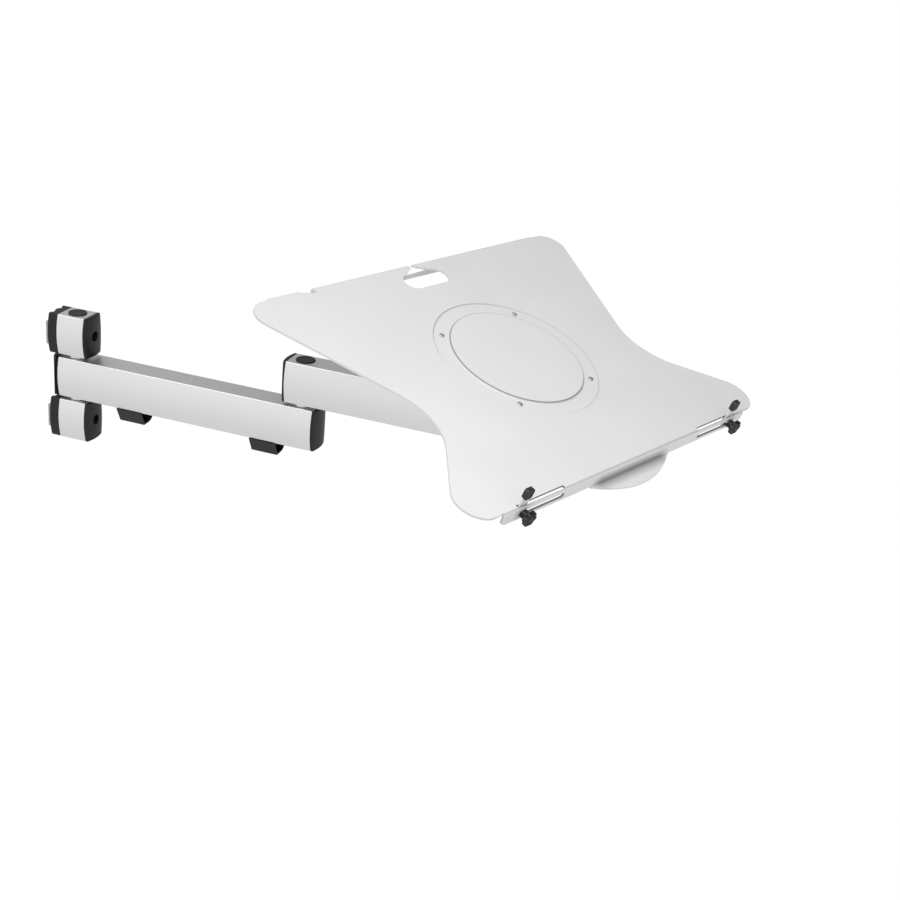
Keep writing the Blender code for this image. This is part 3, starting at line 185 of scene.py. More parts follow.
def soften(piece, width, segments=2, angle=38.0):
    addModifier(
        piece,
        "BEVEL",
        width=width,
        segments=segments,
        limit_method="ANGLE",
        angle_limit=math.radians(angle),
        use_clamp_overlap=True,
    )


def arcPoints(centre, radius, start, end, steps=4):
    # points of an arc round a centre, angles in degrees
    angle = np.radians(np.linspace(start, end, steps + 1))
    return np.array(centre) + radius * np.stack([np.cos(angle), np.sin(angle)], axis=-1)


def roundedCorner(*arc):
    return arcPoints(*arc).tolist()


def anglesRound(steps):
    return np.linspace(0, 2 * np.pi, steps, endpoint=False)


def polarGrid(radius, height, angle):
    # x = r cos a, y = r sin a, z = height
    x = radius * np.cos(angle)
    return np.stack([x, radius * np.sin(angle), height + 0 * x], axis=-1)


def turnedMesh(profile, steps=None, closed=False):
    # a profile of (radius, height) rows turned round Z
    rows = np.array(profile, float)
    grid = polarGrid(rows[:, :1], rows[:, 1:], anglesRound(steps or shared["round"]))
    return gridMesh(grid, closeAlong=closed, ends=False)


# materials: one Principled shader each, with patterns on Object coordinates

def newMaterial(name, sockets):
    material = bpy.data.materials.new(name)
    material.use_nodes = True
    shader = material.node_tree.nodes["Principled BSDF"]
    for key, value in sockets.items():
        shader.inputs[key].default_value = value
    return material


def addNode(tree, kind, inputs=None, **settings):
    # inputs by name or number: a socket is linked to, anything else is set
    node = tree.nodes.new(kind)
    for key, value in settings.items():
        setattr(node, key, value)
    for key, value in (inputs or {}).items():
        if isinstance(value, bpy.types.NodeSocket):
            tree.links.new(value, node.inputs[key])
        else:
            node.inputs[key].default_value = value
    return node


def addMath(tree, operation, *terms):
    return addNode(tree, "ShaderNodeMath", dict(enumerate(terms)), operation=operation).outputs[0]


def addVectorMath(tree, operation, *terms):
    node = addNode(tree, "ShaderNodeVectorMath", dict(enumerate(terms)), operation=operation)
    return node.outputs["Value"]


def addNoise(tree, scale, detail=2.0, roughness=0.5, stretch=(1, 1, 1)):
    # noise on Object coordinates, in cells per metre, stretched along an axis if asked
    place = addNode(tree, "ShaderNodeTexCoord").outputs["Object"]
    mapping = addNode(tree, "ShaderNodeMapping", {"Vector": place, "Scale": stretch})
    inputs = {"Vector": mapping.outputs["Vector"], "Scale": scale, "Detail": detail}
    return addNode(tree, "ShaderNodeTexNoise", {**inputs, "Roughness": roughness}).outputs["Fac"]


def addRange(tree, source, low, high, start=0.3, end=0.7, ease="LINEAR"):
    # start to end of the source becomes low to high
    inputs = {"Value": source, "From Min": start, "From Max": end, "To Min": low, "To Max": high}
    spread = addNode(tree, "ShaderNodeMapRange", inputs, interpolation_type=ease)
    return spread.outputs["Result"]


def addMix(tree, share, first, second):
    # share of the second shader over the first
    return addNode(tree, "ShaderNodeMixShader", {"Fac": share, 1: first, 2: second}).outputs[0]


# noise: cells per metre, detail, roughness, stretch; gloss: range of roughness;
# bump: height in metres, strength
finishes = {
    "satinAluminium": {  # blasted and anodised: a fine speckle over an even satin
        "sockets": {"Metallic": 1.0, "Roughness": 0.42},
        "dark": (0.74, 0.745, 0.755),
        "light": (0.83, 0.835, 0.84),
        "noise": (1500, 3.0, 0.7),
        "gloss": (0.36, 0.47),
        "bumpNoise": (5200,),
        "bump": (0.00002, 0.35),
    },
    "blackPlastic": {  # moulded grain under a slight sheen
        "sockets": {"Metallic": 0.0, "Roughness": 0.46, "IOR": 1.5, "Specular IOR Level": 0.38},
        "dark": (0.006, 0.006, 0.0065),
        "light": (0.011, 0.011, 0.0115),
        "noise": (2600, 3.0, 0.6),
        "gloss": (0.40, 0.54),
        "bump": (0.00006, 0.4),
    },
    "whiteCoat": {  # powder coat: a faint cloud of tint and the ripple of a sprayed film
        "sockets": {"Metallic": 0.0, "Roughness": 0.38, "IOR": 1.45},
        "dark": (0.775, 0.775, 0.772),
        "light": (0.80, 0.80, 0.797),
        "noise": (14,),
        "glossNoise": (650, 2.0, 0.55),
        "gloss": (0.34, 0.42),
        "bump": (0.00003, 0.10),
    },
    "slotWallShade": {  # painted shade: darker grey on the walls of the slots, where they lie in shadow
        "sockets": {"Metallic": 0.0, "Roughness": 0.5, "IOR": 1.45},
        "dark": (0.26, 0.26, 0.258),
        "light": (0.36, 0.36, 0.357),
        "noise": (160, 3.0),
        "gloss": (0.44, 0.58),
    },
    "rolledSteel": {  # streaks along the rolling
        "sockets": {"Metallic": 0.9, "Roughness": 0.40},
        "dark": (0.33, 0.335, 0.34),
        "light": (0.48, 0.485, 0.49),
        "noise": (420, 4.0, 0.6, (1, 6, 1)),
        "gloss": (0.32, 0.50),
        "bump": (0.00004, 0.3),
    },
    "blackRubber": {
        "sockets": {"Metallic": 0.0, "Roughness": 0.68, "IOR": 1.5},
        "dark": (0.017, 0.017, 0.018),
        "light": (0.027, 0.027, 0.028),
        "noise": (3200, 4.0, 0.65),
        "gloss": (0.58, 0.74),
        "bump": (0.00008, 0.5),
    },
    "zincSteel": {  # turned or rolled, with fine lines across its length
        "sockets": {"Metallic": 1.0, "Roughness": 0.28},
        "dark": (0.60, 0.61, 0.62),
        "light": (0.72, 0.73, 0.74),
        "noise": (900, 3.0, 0.6, (1, 1, 6)),
        "gloss": (0.22, 0.36),
        "bump": (0.00002, 0.25),
    },
    "blackenedSteel": {
        "sockets": {"Metallic": 0.55, "Roughness": 0.40},
        "dark": (0.030, 0.031, 0.033),
        "light": (0.055, 0.056, 0.060),
        "noise": (1800, 3.0, 0.6),
        "gloss": (0.34, 0.50),
        "bump": (0.00004, 0.3),
    },
    "sinteredBronze": {
        "sockets": {"Metallic": 1.0, "Roughness": 0.40},
        "dark": (0.42, 0.29, 0.14),
        "light": (0.58, 0.43, 0.24),
        "noise": (2400, 4.0, 0.7),
        "gloss": (0.34, 0.5),
        "bump": (0.00004, 0.4),
    },
}


def makeFinish(name):
    # colour, gloss and height follow noise: gloss takes the colour's noise, and height takes
    # the gloss's, where they have none of their own
    values = finishes[name]
    dark, light = (*values["dark"], 1), (*values["light"], 1)
    material = newMaterial(name, {"Base Color": light, **values["sockets"]})
    tree = material.node_tree
    shader = tree.nodes["Principled BSDF"]
    noise = addNoise(tree, *values["noise"])
    inputs = {"Factor": addRange(tree, noise, 0, 1), 6: dark, 7: light}
    tint = addNode(tree, "ShaderNodeMix", inputs, data_type="RGBA")
    tree.links.new(tint.outputs[2], shader.inputs["Base Color"])
    if "glossNoise" in values:
        noise = addNoise(tree, *values["glossNoise"])
    tree.links.new(addRange(tree, noise, *values["gloss"]), shader.inputs["Roughness"])
    if "bumpNoise" in values:
        noise = addNoise(tree, *values["bumpNoise"])
    if "bump" in values:
        distance, strength = values["bump"]
        inputs = {"Height": noise, "Distance": distance, "Strength": strength}
        bump = addNode(tree, "ShaderNodeBump", inputs)
        tree.links.new(bump.outputs["Normal"], shader.inputs["Normal"])
    return material


looks = {
    "satin_aluminium": makeFinish("satinAluminium"),
    "black_plastic": makeFinish("blackPlastic"),
    "white_powder_coat": makeFinish("whiteCoat"),
    "black_rubber": makeFinish("blackRubber"),
    "bright_steel": makeFinish("zincSteel"),
    "dark_steel": makeFinish("blackenedSteel"),
    "bronze_bush": makeFinish("sinteredBronze"),
}
for nodeName, node in nodes.items():
    node.data.materials.clear()
    node.data.materials.append(looks[slotOf[nodeName]])
print("finishes:", len(finishes))


# pieces that take over a node

def pieceName(node):
    # cable_clip_1 becomes cableClip1
    first, *rest = node.split("_")
    return first + "".join(word.capitalize() for word in rest)


def dress(piece, node, material=None, sharp=32.0):
    # the piece takes over the node: its body, its slot and its look
    applyModifiers(piece)
    piece.data.materials.clear()
    piece.data.materials.append(material or looks[slotOf[node]])
    piece.data.shade_smooth()
    piece.data.set_sharp_from_angle(angle=math.radians(sharp))
    addModifier(piece, "WEIGHTED_NORMAL", keep_sharp=True, weight=80)
    applyModifiers(piece)
    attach(piece, nodes[node]["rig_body"])
    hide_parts(node)


def addPiece(node, mesh, turn=upright, shift=(0, 0, 0), **look):
    dress(makePiece(pieceName(node), *mesh, turn, shift), node, **look)


def addSoftCopy(node, width, segments=2, angle=38.0, **look):
    # a merged copy of a node's own mesh with its flat faces joined and its edges rounded
    mesh = nodes[node].data.copy()
    bm = bmesh.new()
    bm.from_mesh(mesh)
    bmesh.ops.remove_doubles(bm, verts=bm.verts, dist=shared["merge"])
    flat = math.radians(shared["flatAngle"])
    bmesh.ops.dissolve_limit(bm, angle_limit=flat, verts=bm.verts, edges=bm.edges)
    bm.to_mesh(mesh)
    bm.free()
    piece = addObject(pieceName(node), mesh)
    soften(piece, width, segments, angle)
    dress(piece, node, **look)


# extruded bodies: column blocks and arms
extrusion = {
    "half": 0.0205,
    "flat": 0.026,
    "bow": 0.003,
    "wall": 0.0025,
    "edge": 0.0008,
    "endBreak": 0.0007,
    "inset": 0.01475,  # pivot from the end
    "bush": 0.0096,
    "fixed": 0.0076,
    "sideSteps": 20,
    "cornerSteps": 6,
}


def sectionHalf(inset, flatSteps):
    # upper half from +Y to -Y: arc of the bowed side, arc of the edge, flat, both arcs mirrored
    half, bow, edge = extrusion["half"], extrusion["bow"], extrusion["edge"]
    sideRadius = (half**2 + bow**2) / (2 * bow)
    sideCentre = extrusion["flat"] / 2 + bow - sideRadius
    cornerZ = half - inset - edge
    cornerY = sideCentre + math.sqrt((sideRadius - inset - edge) ** 2 - cornerZ**2)
    lean = math.degrees(math.atan2(cornerZ, cornerY - sideCentre))
    side = roundedCorner((sideCentre, 0), sideRadius - inset, 0, lean, extrusion["sideSteps"])
    side += roundedCorner((cornerY, cornerZ), edge, lean, 90, extrusion["cornerSteps"])[1:]
    side = np.array(side)
    share = np.linspace(1, -1, flatSteps + 1)[1:-1]
    flat = np.stack([share * cornerY, np.full(share.shape, half - inset)], axis=-1)
    return np.concatenate([side, flat, side[::-1] * (-1, 1)])


def sectionRing(inset, depth, flatSteps=1):
    # the whole section as (x, y, z), with x a number or a function of y
    half = sectionHalf(inset, flatSteps)
    loop = np.concatenate([half, half[1:-1][::-1] * (1, -1)])
    x = depth(loop[:, 0]) if callable(depth) else np.full(len(loop), float(depth))
    return np.column_stack([x, loop])


def addBody(name, node, low, high, centre, bores):
    # rings along X: rounded ends outside, plain ends inside; bores are (place along X, radius)
    eased = extrusion["endBreak"]
    turn = np.radians(np.linspace(0, 90, 4))
    ease = [(eased * (1 - math.sin(a)), eased * (1 - math.cos(a))) for a in turn]
    start = [(low + across, inset) for inset, across in ease]
    end = [(high - across, inset) for inset, across in reversed(ease)]
    rings = start + end + [(high, extrusion["wall"]), (low, extrusion["wall"])]
    grid = np.stack([sectionRing(inset, x) for x, inset in rings])
    piece = makePiece(name, *gridMesh(grid, closeAlong=True), shift=centre)
    reach = extrusion["half"] + 2 * shared["beyond"]
    for x, radius in bores:
        cutHole(piece, radius, -reach, reach, shift=np.array(centre) + (x, 0, 0))
    dress(piece, node)


def addBodies():
    inset, bush, fixed = extrusion["inset"], extrusion["bush"], extrusion["fixed"]
    for word, centre in blocks.items():
        addBody(f"{word}BlockBody", f"{word}_block", -inset, inset, centre, [(0, fixed)])
    reach = elbow[0] - shoulder[0]
    bores = [(0, bush), (reach, fixed)]
    addBody("lowerArmBody", "lower_arm_tube", -inset, reach + inset, shoulder, bores)
    reach = headFoot[0] - elbow[0]
    bores = [(0, bush), (reach, bush)]
    addBody("upperArmBody", "upper_arm_tube", -inset, reach + inset, elbow, bores)
    print("extruded bodies: 4")


# moulded caps of the bodies
caps = {
    "plug": 0.004,
    "rim": 0.0009,
    "side": 0.0012,
    "crown": 0.0042,
    "rear": 0.0095,
    "valleyCentre": 0.00625,
    "valleyMouth": 0.0085,
    "valleyFloor": 0.003,
    "valleyDepth": 0.002,
    "neck": 0.0024,
    "neckRecess": 0.0015,
    "swing": 0.024,
    "lip": 0.0008,
    "access": 0.00525,
    "screwHole": 0.0033,
    "through": 0.02,
    "flatSteps": 64,
}


def rimRings(depth, rounding, steps=5):
    # sections that round a face's rim: depth falls by 1 - sin, inset grows by 1 - cos
    rings = []
    for turn in np.radians(np.linspace(0, 90, steps)):
        fall = rounding * (1 - math.sin(turn))
        rings.append((lambda y, fall=fall: depth(y) - fall, rounding * (1 - math.cos(turn))))
    return rings


def capMesh(rings):
    # sections from the plug outwards; the face is ruled from the rim's upper to its lower half
    grid = np.stack([sectionRing(inset, depth, caps["flatSteps"]) for depth, inset in rings])
    rows, columns = grid.shape[:2]
    faces = gridFaces(rows, columns, True, False)
    faces.append(list(range(columns)))
    base = (rows - 1) * columns
    upper = np.arange(columns // 2)
    lower = (columns - upper) % columns
    strip = np.stack([upper, upper + 1, (columns - upper - 1) % columns, lower], axis=-1) + base
    faces += [list(dict.fromkeys(row)) for row in strip.tolist()]
    return grid.reshape(-1, 3), faces


def plugRings():
    inset = extrusion["wall"] + shared["gap"]
    return [(-caps["plug"], inset), (shared["gap"], inset)]


def domeDepth(y):
    # parabola from the crown down to the sides
    half = extrusion["flat"] / 2 + extrusion["bow"]
    return shared["gap"] + caps["side"] + (caps["crown"] - caps["side"]) * (1 - (y / half) ** 2)


def rearDepth(y):
    # flat face less two trapezoid grooves with eased corners
    slope = (caps["valleyMouth"] - caps["valleyFloor"]) / 2
    away = np.abs(np.abs(y) - caps["valleyCentre"]) - caps["valleyFloor"] / 2
    fall = np.clip(1 - away / slope, 0, 1)
    return shared["gap"] + caps["rear"] - caps["valleyDepth"] * fall * fall * (3 - 2 * fall)


def swingDepth(y):
    # circle round the shoulder axis, no shallower than the neck and a lip
    circle = np.sqrt(caps["swing"] ** 2 - y**2) - extrusion["inset"]
    return np.maximum(circle, shared["gap"] + caps["neck"] + caps["lip"])


def addCap(node, rings, turn, shift, hole=None):
    piece = makePiece(pieceName(node), *capMesh(plugRings() + rings), turn, shift)
    if hole:
        cutHole(piece, hole, -caps["through"], caps["through"], turn @ alongX, shift)
    dress(piece, node, sharp=42.0)


def addCaps():
    inset, gap = extrusion["inset"], shared["gap"]
    back = turnAbout("Z", 180)
    dome = [(gap, 0)] + rimRings(domeDepth, caps["rim"])
    rear = [(gap, 0)] + rimRings(rearDepth, caps["rim"] / 2, 4)
    for word, centre in blocks.items():
        addCap(f"{word}_front_cap", dome, upright, centre + (inset, 0, 0), caps["access"])
        addCap(f"{word}_rear_cap", rear, back, centre - (inset, 0, 0), caps["screwHole"])
    neckEnd = gap + caps["neck"]
    swing = [(gap, caps["neckRecess"]), (neckEnd, caps["neckRecess"]), (neckEnd, 0)]
    swing += rimRings(swingDepth, caps["lip"] / 2, 4)
    addCap("lower_arm_inner_cap", swing, back, shoulder - (inset, 0, 0))
    addCap("lower_arm_outer_cap", dome, upright, elbow + (inset, 0, -shared["level"]))
    addCap("upper_arm_inner_cap", dome, back, elbow - (inset, 0, 0))
    addCap("upper_arm_outer_cap", dome, upright, headFoot + (inset, 0, 0))
    print("moulded caps: 8")


# pivot caps and washers
pivot = {
    "rim": 0.0092,
    "top": 0.0011,
    "edge": 0.0004,
    "border": 0.0012,
    "dish": 0.0003,
    "stem": 0.0037,
    "deep": 0.006,
    "washer": 0.010,
}


def pivotCapMesh():
    # stem, flat underside, rounded rim, raised border and a shallow dish
    rim, top, edge, stem, dish = (pivot[key] for key in ("rim", "top", "edge", "stem", "dish"))
    inner = rim - pivot["border"]
    profile = [(0, -pivot["deep"]), (stem, -pivot["deep"]), (stem, shared["gap"])]
    profile += [(rim, shared["gap"])] + roundedCorner((rim - edge, top - edge), edge, 0, 90)
    profile += [(inner, top)] + roundedCorner((inner - dish, top), dish, 0, -90)
    return turnedMesh(profile + [(0, top - dish)])


def washerMesh(half, outer, inner, edge=0.00025):
    # rectangular section with its outer edges broken
    profile = [(inner, -half), (outer - edge, -half), (outer, edge - half), (outer, half - edge)]
    profile += [(outer - edge, half), (inner, half)]
    return turnedMesh(profile, closed=True)


def addPivots():
    down = turnAbout("X", 180)
    half, level = extrusion["half"], shared["level"]
    places = {
        "shoulder_top_cap": (upright, shoulder + (0, 0, level + half)),
        "shoulder_bottom_cap": (down, shoulder - (0, 0, level + half)),
        "elbow_top_cap": (upright, elbow + (0, 0, half)),
        "elbow_bottom_cap": (down, elbow - (0, 0, level + half)),
        "head_bottom_cap": (down, headFoot - (0, 0, half)),
    }
    for node, (turn, place) in places.items():
        addPiece(node, pivotCapMesh(), turn, place)
    bore = shared["shaft"] + shared["gap"]
    ring = washerMesh(level / 2 - half - shared["gap"], pivot["washer"], bore)
    rings = {
        "shoulder_upper_washer": shoulder + (0, 0, level / 2),
        "shoulder_lower_washer": shoulder - (0, 0, level / 2),
        "elbow_washer": elbow - (0, 0, level / 2),
        "head_washer": headFoot + (0, 0, level / 2),
    }
    for node, place in rings.items():
        addPiece(node, ring, shift=place)
    print("pivot caps and washers: 9")


# column clamp: screws and slot nuts
clamp = {
    "shank": 0.003,
    "pitch": 0.001,
    "threadDepth": 0.0003,
    "threadEnd": -0.012,  # from the shaft's axis
    "rowsPerTurn": 8,
    "steps": 48,
    "tip": 0.8,  # share of the radius at the thread's start
    "seat": 0.0087,
    "head": 0.0049,
    "headHeight": 0.004,
    "headEdge": 0.0004,
    "socket": 0.0025,  # half across flats
    "socketDepth": 0.0022,
    "reach": 0.010,  # behind the column's face
}


def clampScrewMesh(low, head):
    # radius less a triangle wave of height over pitch minus angle over a turn, faded at the
    # tip, then the head's profile
    pitch, depth, radius = clamp["pitch"], clamp["threadDepth"], clamp["shank"]
    rows = int((clamp["threadEnd"] - low) / pitch * clamp["rowsPerTurn"])
    z = np.linspace(low, clamp["threadEnd"], rows)[:, None]
    angle = anglesRound(clamp["steps"])
    wave = np.abs(((z / pitch - angle / (2 * np.pi)) % 1) * 2 - 1)
    tip = np.clip((z - low) / pitch, 0, 1)
    r = (radius - depth * wave) * (clamp["tip"] + (1 - clamp["tip"]) * tip)
    rest = np.array([(radius, clamp["threadEnd"] + depth)] + head)
    rest = polarGrid(rest[:, :1], rest[:, 1:], angle)
    return gridMesh(np.concatenate([polarGrid(r, z, angle), rest]))


def addClamp():
    seat, rim, eased = clamp["seat"], clamp["head"], clamp["headEdge"]
    top = seat + clamp["headHeight"]
    profile = [(clamp["shank"], seat), (rim, seat)]
    profile += roundedCorner((rim - eased, top - eased), eased, 0, 90)
    corner = clamp["socket"] / math.cos(math.radians(30))
    floor = top - clamp["socketDepth"]
    nutSteel = makeFinish("rolledSteel")
    mesh = clampScrewMesh(-shoulder[0] - clamp["reach"], profile)
    for word, centre in blocks.items():
        screw = makePiece(f"{word}ClampScrew", *mesh, alongX, centre)
        cutHole(screw, corner, floor, top + shared["beyond"], alongX, centre, 6)
        dress(screw, f"{word}_clamp_screw", sharp=50.0)
        addSoftCopy(f"{word}_slot_nut", 0.0004, 3, material=nutSteel)
    print("clamp screws and slot nuts: 4")


# cable clips
clip = {
    "centres": (0.0644, 0.2096),
    "length": 0.0275,
    "wall": 0.0016,
    "front": 0.0139,
    "corner": 0.0065,
    "back": 0.011,
    "drop": 0.0147,
    "squareness": 0.5,
    "edge": 0.0004,
    "edgeMiddle": 0.3,  # share of the edge, for the row in the middle of its rounding
    "steps": 28,
}


def clipLoop(inset):
    # slanting front, superellipse bottom and back, moved inwards along each corner's mean normal
    angle = np.linspace(0, np.pi / 2, clip["steps"])
    width = clip["corner"] + clip["back"]
    y = width * np.sin(angle) ** clip["squareness"] - clip["corner"]
    z = -clip["drop"] * np.clip(np.cos(angle), 0, 1) ** clip["squareness"]
    loop = np.concatenate([[(-clip["front"], 0)], np.stack([y, z], axis=-1)])
    runs = (loop - np.roll(loop, 1, axis=0), np.roll(loop, -1, axis=0) - loop)
    normals = [np.column_stack([-run[:, 1], run[:, 0]]) for run in runs]
    normals = [normal / np.linalg.norm(normal, axis=1, keepdims=True) for normal in normals]
    share = 1 + np.sum(normals[0] * normals[1], axis=1, keepdims=True)
    return loop + inset * (normals[0] + normals[1]) / share


def addClips():
    half, edge, wall = clip["length"] / 2, clip["edge"], clip["wall"]
    eased = edge * clip["edgeMiddle"]
    rings = [(edge - half, 0), (half - edge, 0), (half - eased, eased), (half, edge)]
    rings += [(half, wall - edge), (half - edge, wall), (edge - half, wall), (-half, wall - edge)]
    rings += [(-half, edge), (eased - half, eased)]
    loops = {inset: clipLoop(inset) for _, inset in rings}
    grid = np.stack([np.column_stack([np.full(len(loops[i]), x), loops[i]]) for x, i in rings])
    for number, along in enumerate(clip["centres"], 1):
        place = shoulder + (along, 0, -extrusion["half"] - shared["gap"])
        addPiece(f"cable_clip_{number}", gridMesh(grid, closeAlong=True), shift=place, sharp=28.0)
    print("cable clips: 2")


# tilting head and the carrier under the tray
head = {
    "bolt": 0.004,
    "boltHead": 0.0065,
    "boltHeight": 0.005,
    "headEdge": 0.001,
    "tipEdge": 0.0005,
    "socket": 0.0029,
    "socketDepth": 0.0025,
    "seat": 0.018,
    "nut": 0.0065,
    "tip": 0.0015,
    "cheek": 0.010,  # half width of the yoke's middle
    "washer": 0.0085,
    "washerHalf": 0.0007,
    "washerEdge": 0.0002,
}


def addHead():
    addSoftCopy("tilt_yoke", 0.0007, 3, 30.0)
    addSoftCopy("tray_carrier", 0.0005, 2, 30.0)
    sideways = headTurn @ alongX
    seat, rim, shank, eased = head["seat"], head["boltHead"], head["bolt"], head["headEdge"]
    back = -seat - head["boltHeight"]
    tip = seat + head["nut"] + head["tip"]
    profile = [(0, back)] + roundedCorner((rim - eased, back + eased), eased, -90, 0)
    profile += [(rim, -seat), (shank, -seat), (shank, tip - head["tipEdge"])]
    profile += [(shank - head["tipEdge"], tip), (0, tip)]
    bolt = makePiece("tiltBolt", *turnedMesh(profile), sideways, tiltAxis)
    floor = back + head["socketDepth"]
    cutHole(bolt, head["socket"], back - shared["beyond"], floor, sideways, tiltAxis, 6)
    dress(bolt, "tilt_bolt")
    addSoftCopy("tilt_nut", 0.0005)
    half = head["washerHalf"]
    middle = head["cheek"] + shared["gap"] + half
    ring = washerMesh(half, head["washer"], shank + shared["gap"], head["washerEdge"])
    for side, word in ((-1, "left"), (1, "right")):
        place = tiltAxis + headTurn @ np.array([side * middle, 0, 0])
        addPiece(f"{word}_friction_washer", ring, sideways, place)
    print("tilting head: 6")


# tray: one bent and pressed sheet, drawn flat as (x, s) in millimetres and then folded
tray = {
    "thick": 2.0,
    "bend": 3.0,
    "rearEdge": 142.6,
    "frontEdge": 145.3,
    "frontReach": 1.2,  # of the front flange past that edge
    "waistHalf": 145.4,
    "waistForward": 25.9,
    "waistRadius": 63.2,
    "rearAngle": 23.5,
    "frontAngle": 41.3,
    "rearCorner": 18.8,
    "frontCorner": 22.9,
    "rearFlange": (175.0, 16.7, 4.0),  # half width, depth, corner radius
    "frontFlange": (172.5, 12.2, 6.0),
    "relief": 1.0,
    "tab": (55.7, 17.0, 11.7, 0.8),  # half width, reach, level, inner fold radius
    "tabLeast": 0.3,  # of its flat part, at its ends
    "hole": (111.7, 27.0, 10.5, 140.5, 3.1),  # bottom, half width, corner radius, throat, half slit
    "cutout": (-22.0, 26.0, 3.5, 12.5),  # left, right, top and bottom on the flange
    "notch": (-141.0, -124.0, 5.0, 7.5, 8.0),  # ends, slant, depth, drop on the flange
    "slots": (97.0, 157.0, 141.8, 144.8),  # inner end, outer end, back, front
    "flangeSlots": (97.0, 154.0, 4.0, 9.0),
    "slotShift": 2.0,  # both pairs of slots lie further to the right
    "worn": (2.0, 1.0),  # border round the slots inside which their walls take the painted shade
    "press": (79.0, 64.0, 1.0, 1.0),  # ring's outside, disc, ring's depth, disc's rise
    "ringSlope": (0.3, -1.3),  # from and to, beside the ring's outside
    "discSlope": (0.9, -0.9),
    "pastRing": 1.5,  # from the ring's outside to the disc's first row
    "slopeRows": (9, 11),
    "ringRows": (4, 3),  # from the ring's outside and from the disc to the ring's flat rows
    "discRow": 3,  # from the disc's edge to its first flat row
    "discShares": (0.6, 0.3, 0),  # of its radius, for the rest
    "meshEdge": 60.0,  # least angle that is rounded
    "flatAngle": 0.3,  # faces within it are joined
    "arcSteps": 20,
    "endSteps": 12,
    "cornerSteps": 8,
    "bendSteps": 6,
    "ringSteps": 180,
    "bendLine": 230.0,  # half length of the lines along which it bends
    "edge": 0.00035,
}


def flatLevel(start, depth):
    # distance along the flat sheet of a place on a flange, depth below the tray's top
    return start + tray["bend"] * (np.pi / 2 - 1) + depth


def sideOutline():
    # right-hand side from front to rear: corner, waist and corner arcs, joined by their common
    # tangents
    front, rear = math.radians(tray["frontAngle"]), math.radians(tray["rearAngle"])
    radius, steps = tray["waistRadius"], tray["arcSteps"]
    waist = (tray["waistHalf"] + radius, -tray["waistForward"])
    corners = []
    for edge, corner, angle, side in (
        (tray["frontEdge"], tray["frontCorner"], front, -1),
        (tray["rearEdge"], tray["rearCorner"], rear, 1),
    ):
        touch = (waist[0] - radius * math.cos(angle), waist[1] + side * radius * math.sin(angle))
        y = side * (edge - corner)
        x = touch[0] + side * (y - touch[1]) * math.tan(angle) - corner / math.cos(angle)
        corners.append((x, y))
    turns = (180 + tray["frontAngle"], 180 - tray["rearAngle"])
    return np.concatenate([
        arcPoints(corners[0], tray["frontCorner"], -90, tray["frontAngle"], steps),
        arcPoints(waist, radius, *turns, 2 * steps),
        arcPoints(corners[1], tray["rearCorner"], -tray["rearAngle"], 90, steps),
    ])


def tabOutline(frontBend):
    # circular segment past the lower fold, from right to left, and where it starts
    half, reach, level, fold = tray["tab"]
    start = flatLevel(frontBend, level - fold)
    radius = (half**2 + reach**2) / (2 * reach)
    turn = math.degrees(math.asin(half / radius))
    edge = arcPoints((0, 0), radius, turn - 90, -turn - 90, 2 * tray["arcSteps"])
    ahead = -edge[:, 1] - (radius - reach)
    flat = start + fold * np.pi / 2 + np.maximum(ahead - fold, tray["tabLeast"])
    return np.column_stack([edge[:, 0], -flat]), start


def sheetOutline(frontBend):
    # right half from the tab's middle over the front flange, the side and the rear flange, and
    # the same mirrored
    half, depth, corner = tray["frontFlange"]
    level = flatLevel(frontBend, depth)
    tab, start = tabOutline(frontBend)
    tabHalf, gap, steps = tray["tab"][0], tray["relief"], tray["cornerSteps"]
    rearHalf, rearDepth, rearCorner = tray["rearFlange"]
    rearLevel = flatLevel(tray["rearEdge"], rearDepth)
    right = np.concatenate([
        tab[: len(tab) // 2 + 1][::-1],
        [(tabHalf, -start), (tabHalf + gap, -start), (tabHalf + gap, -level)],
        arcPoints((half - corner, corner - level), corner, -90, 0, steps),
        [(half, -frontBend), (half + gap, -frontBend), (half + gap, -tray["frontEdge"])],
        sideOutline(),
        [(rearHalf, tray["rearEdge"])],
        arcPoints((rearHalf - rearCorner, rearLevel - rearCorner), rearCorner, 0, 90, steps),
    ])
    return np.concatenate([right, right[::-1][:-1] * (-1, 1)])


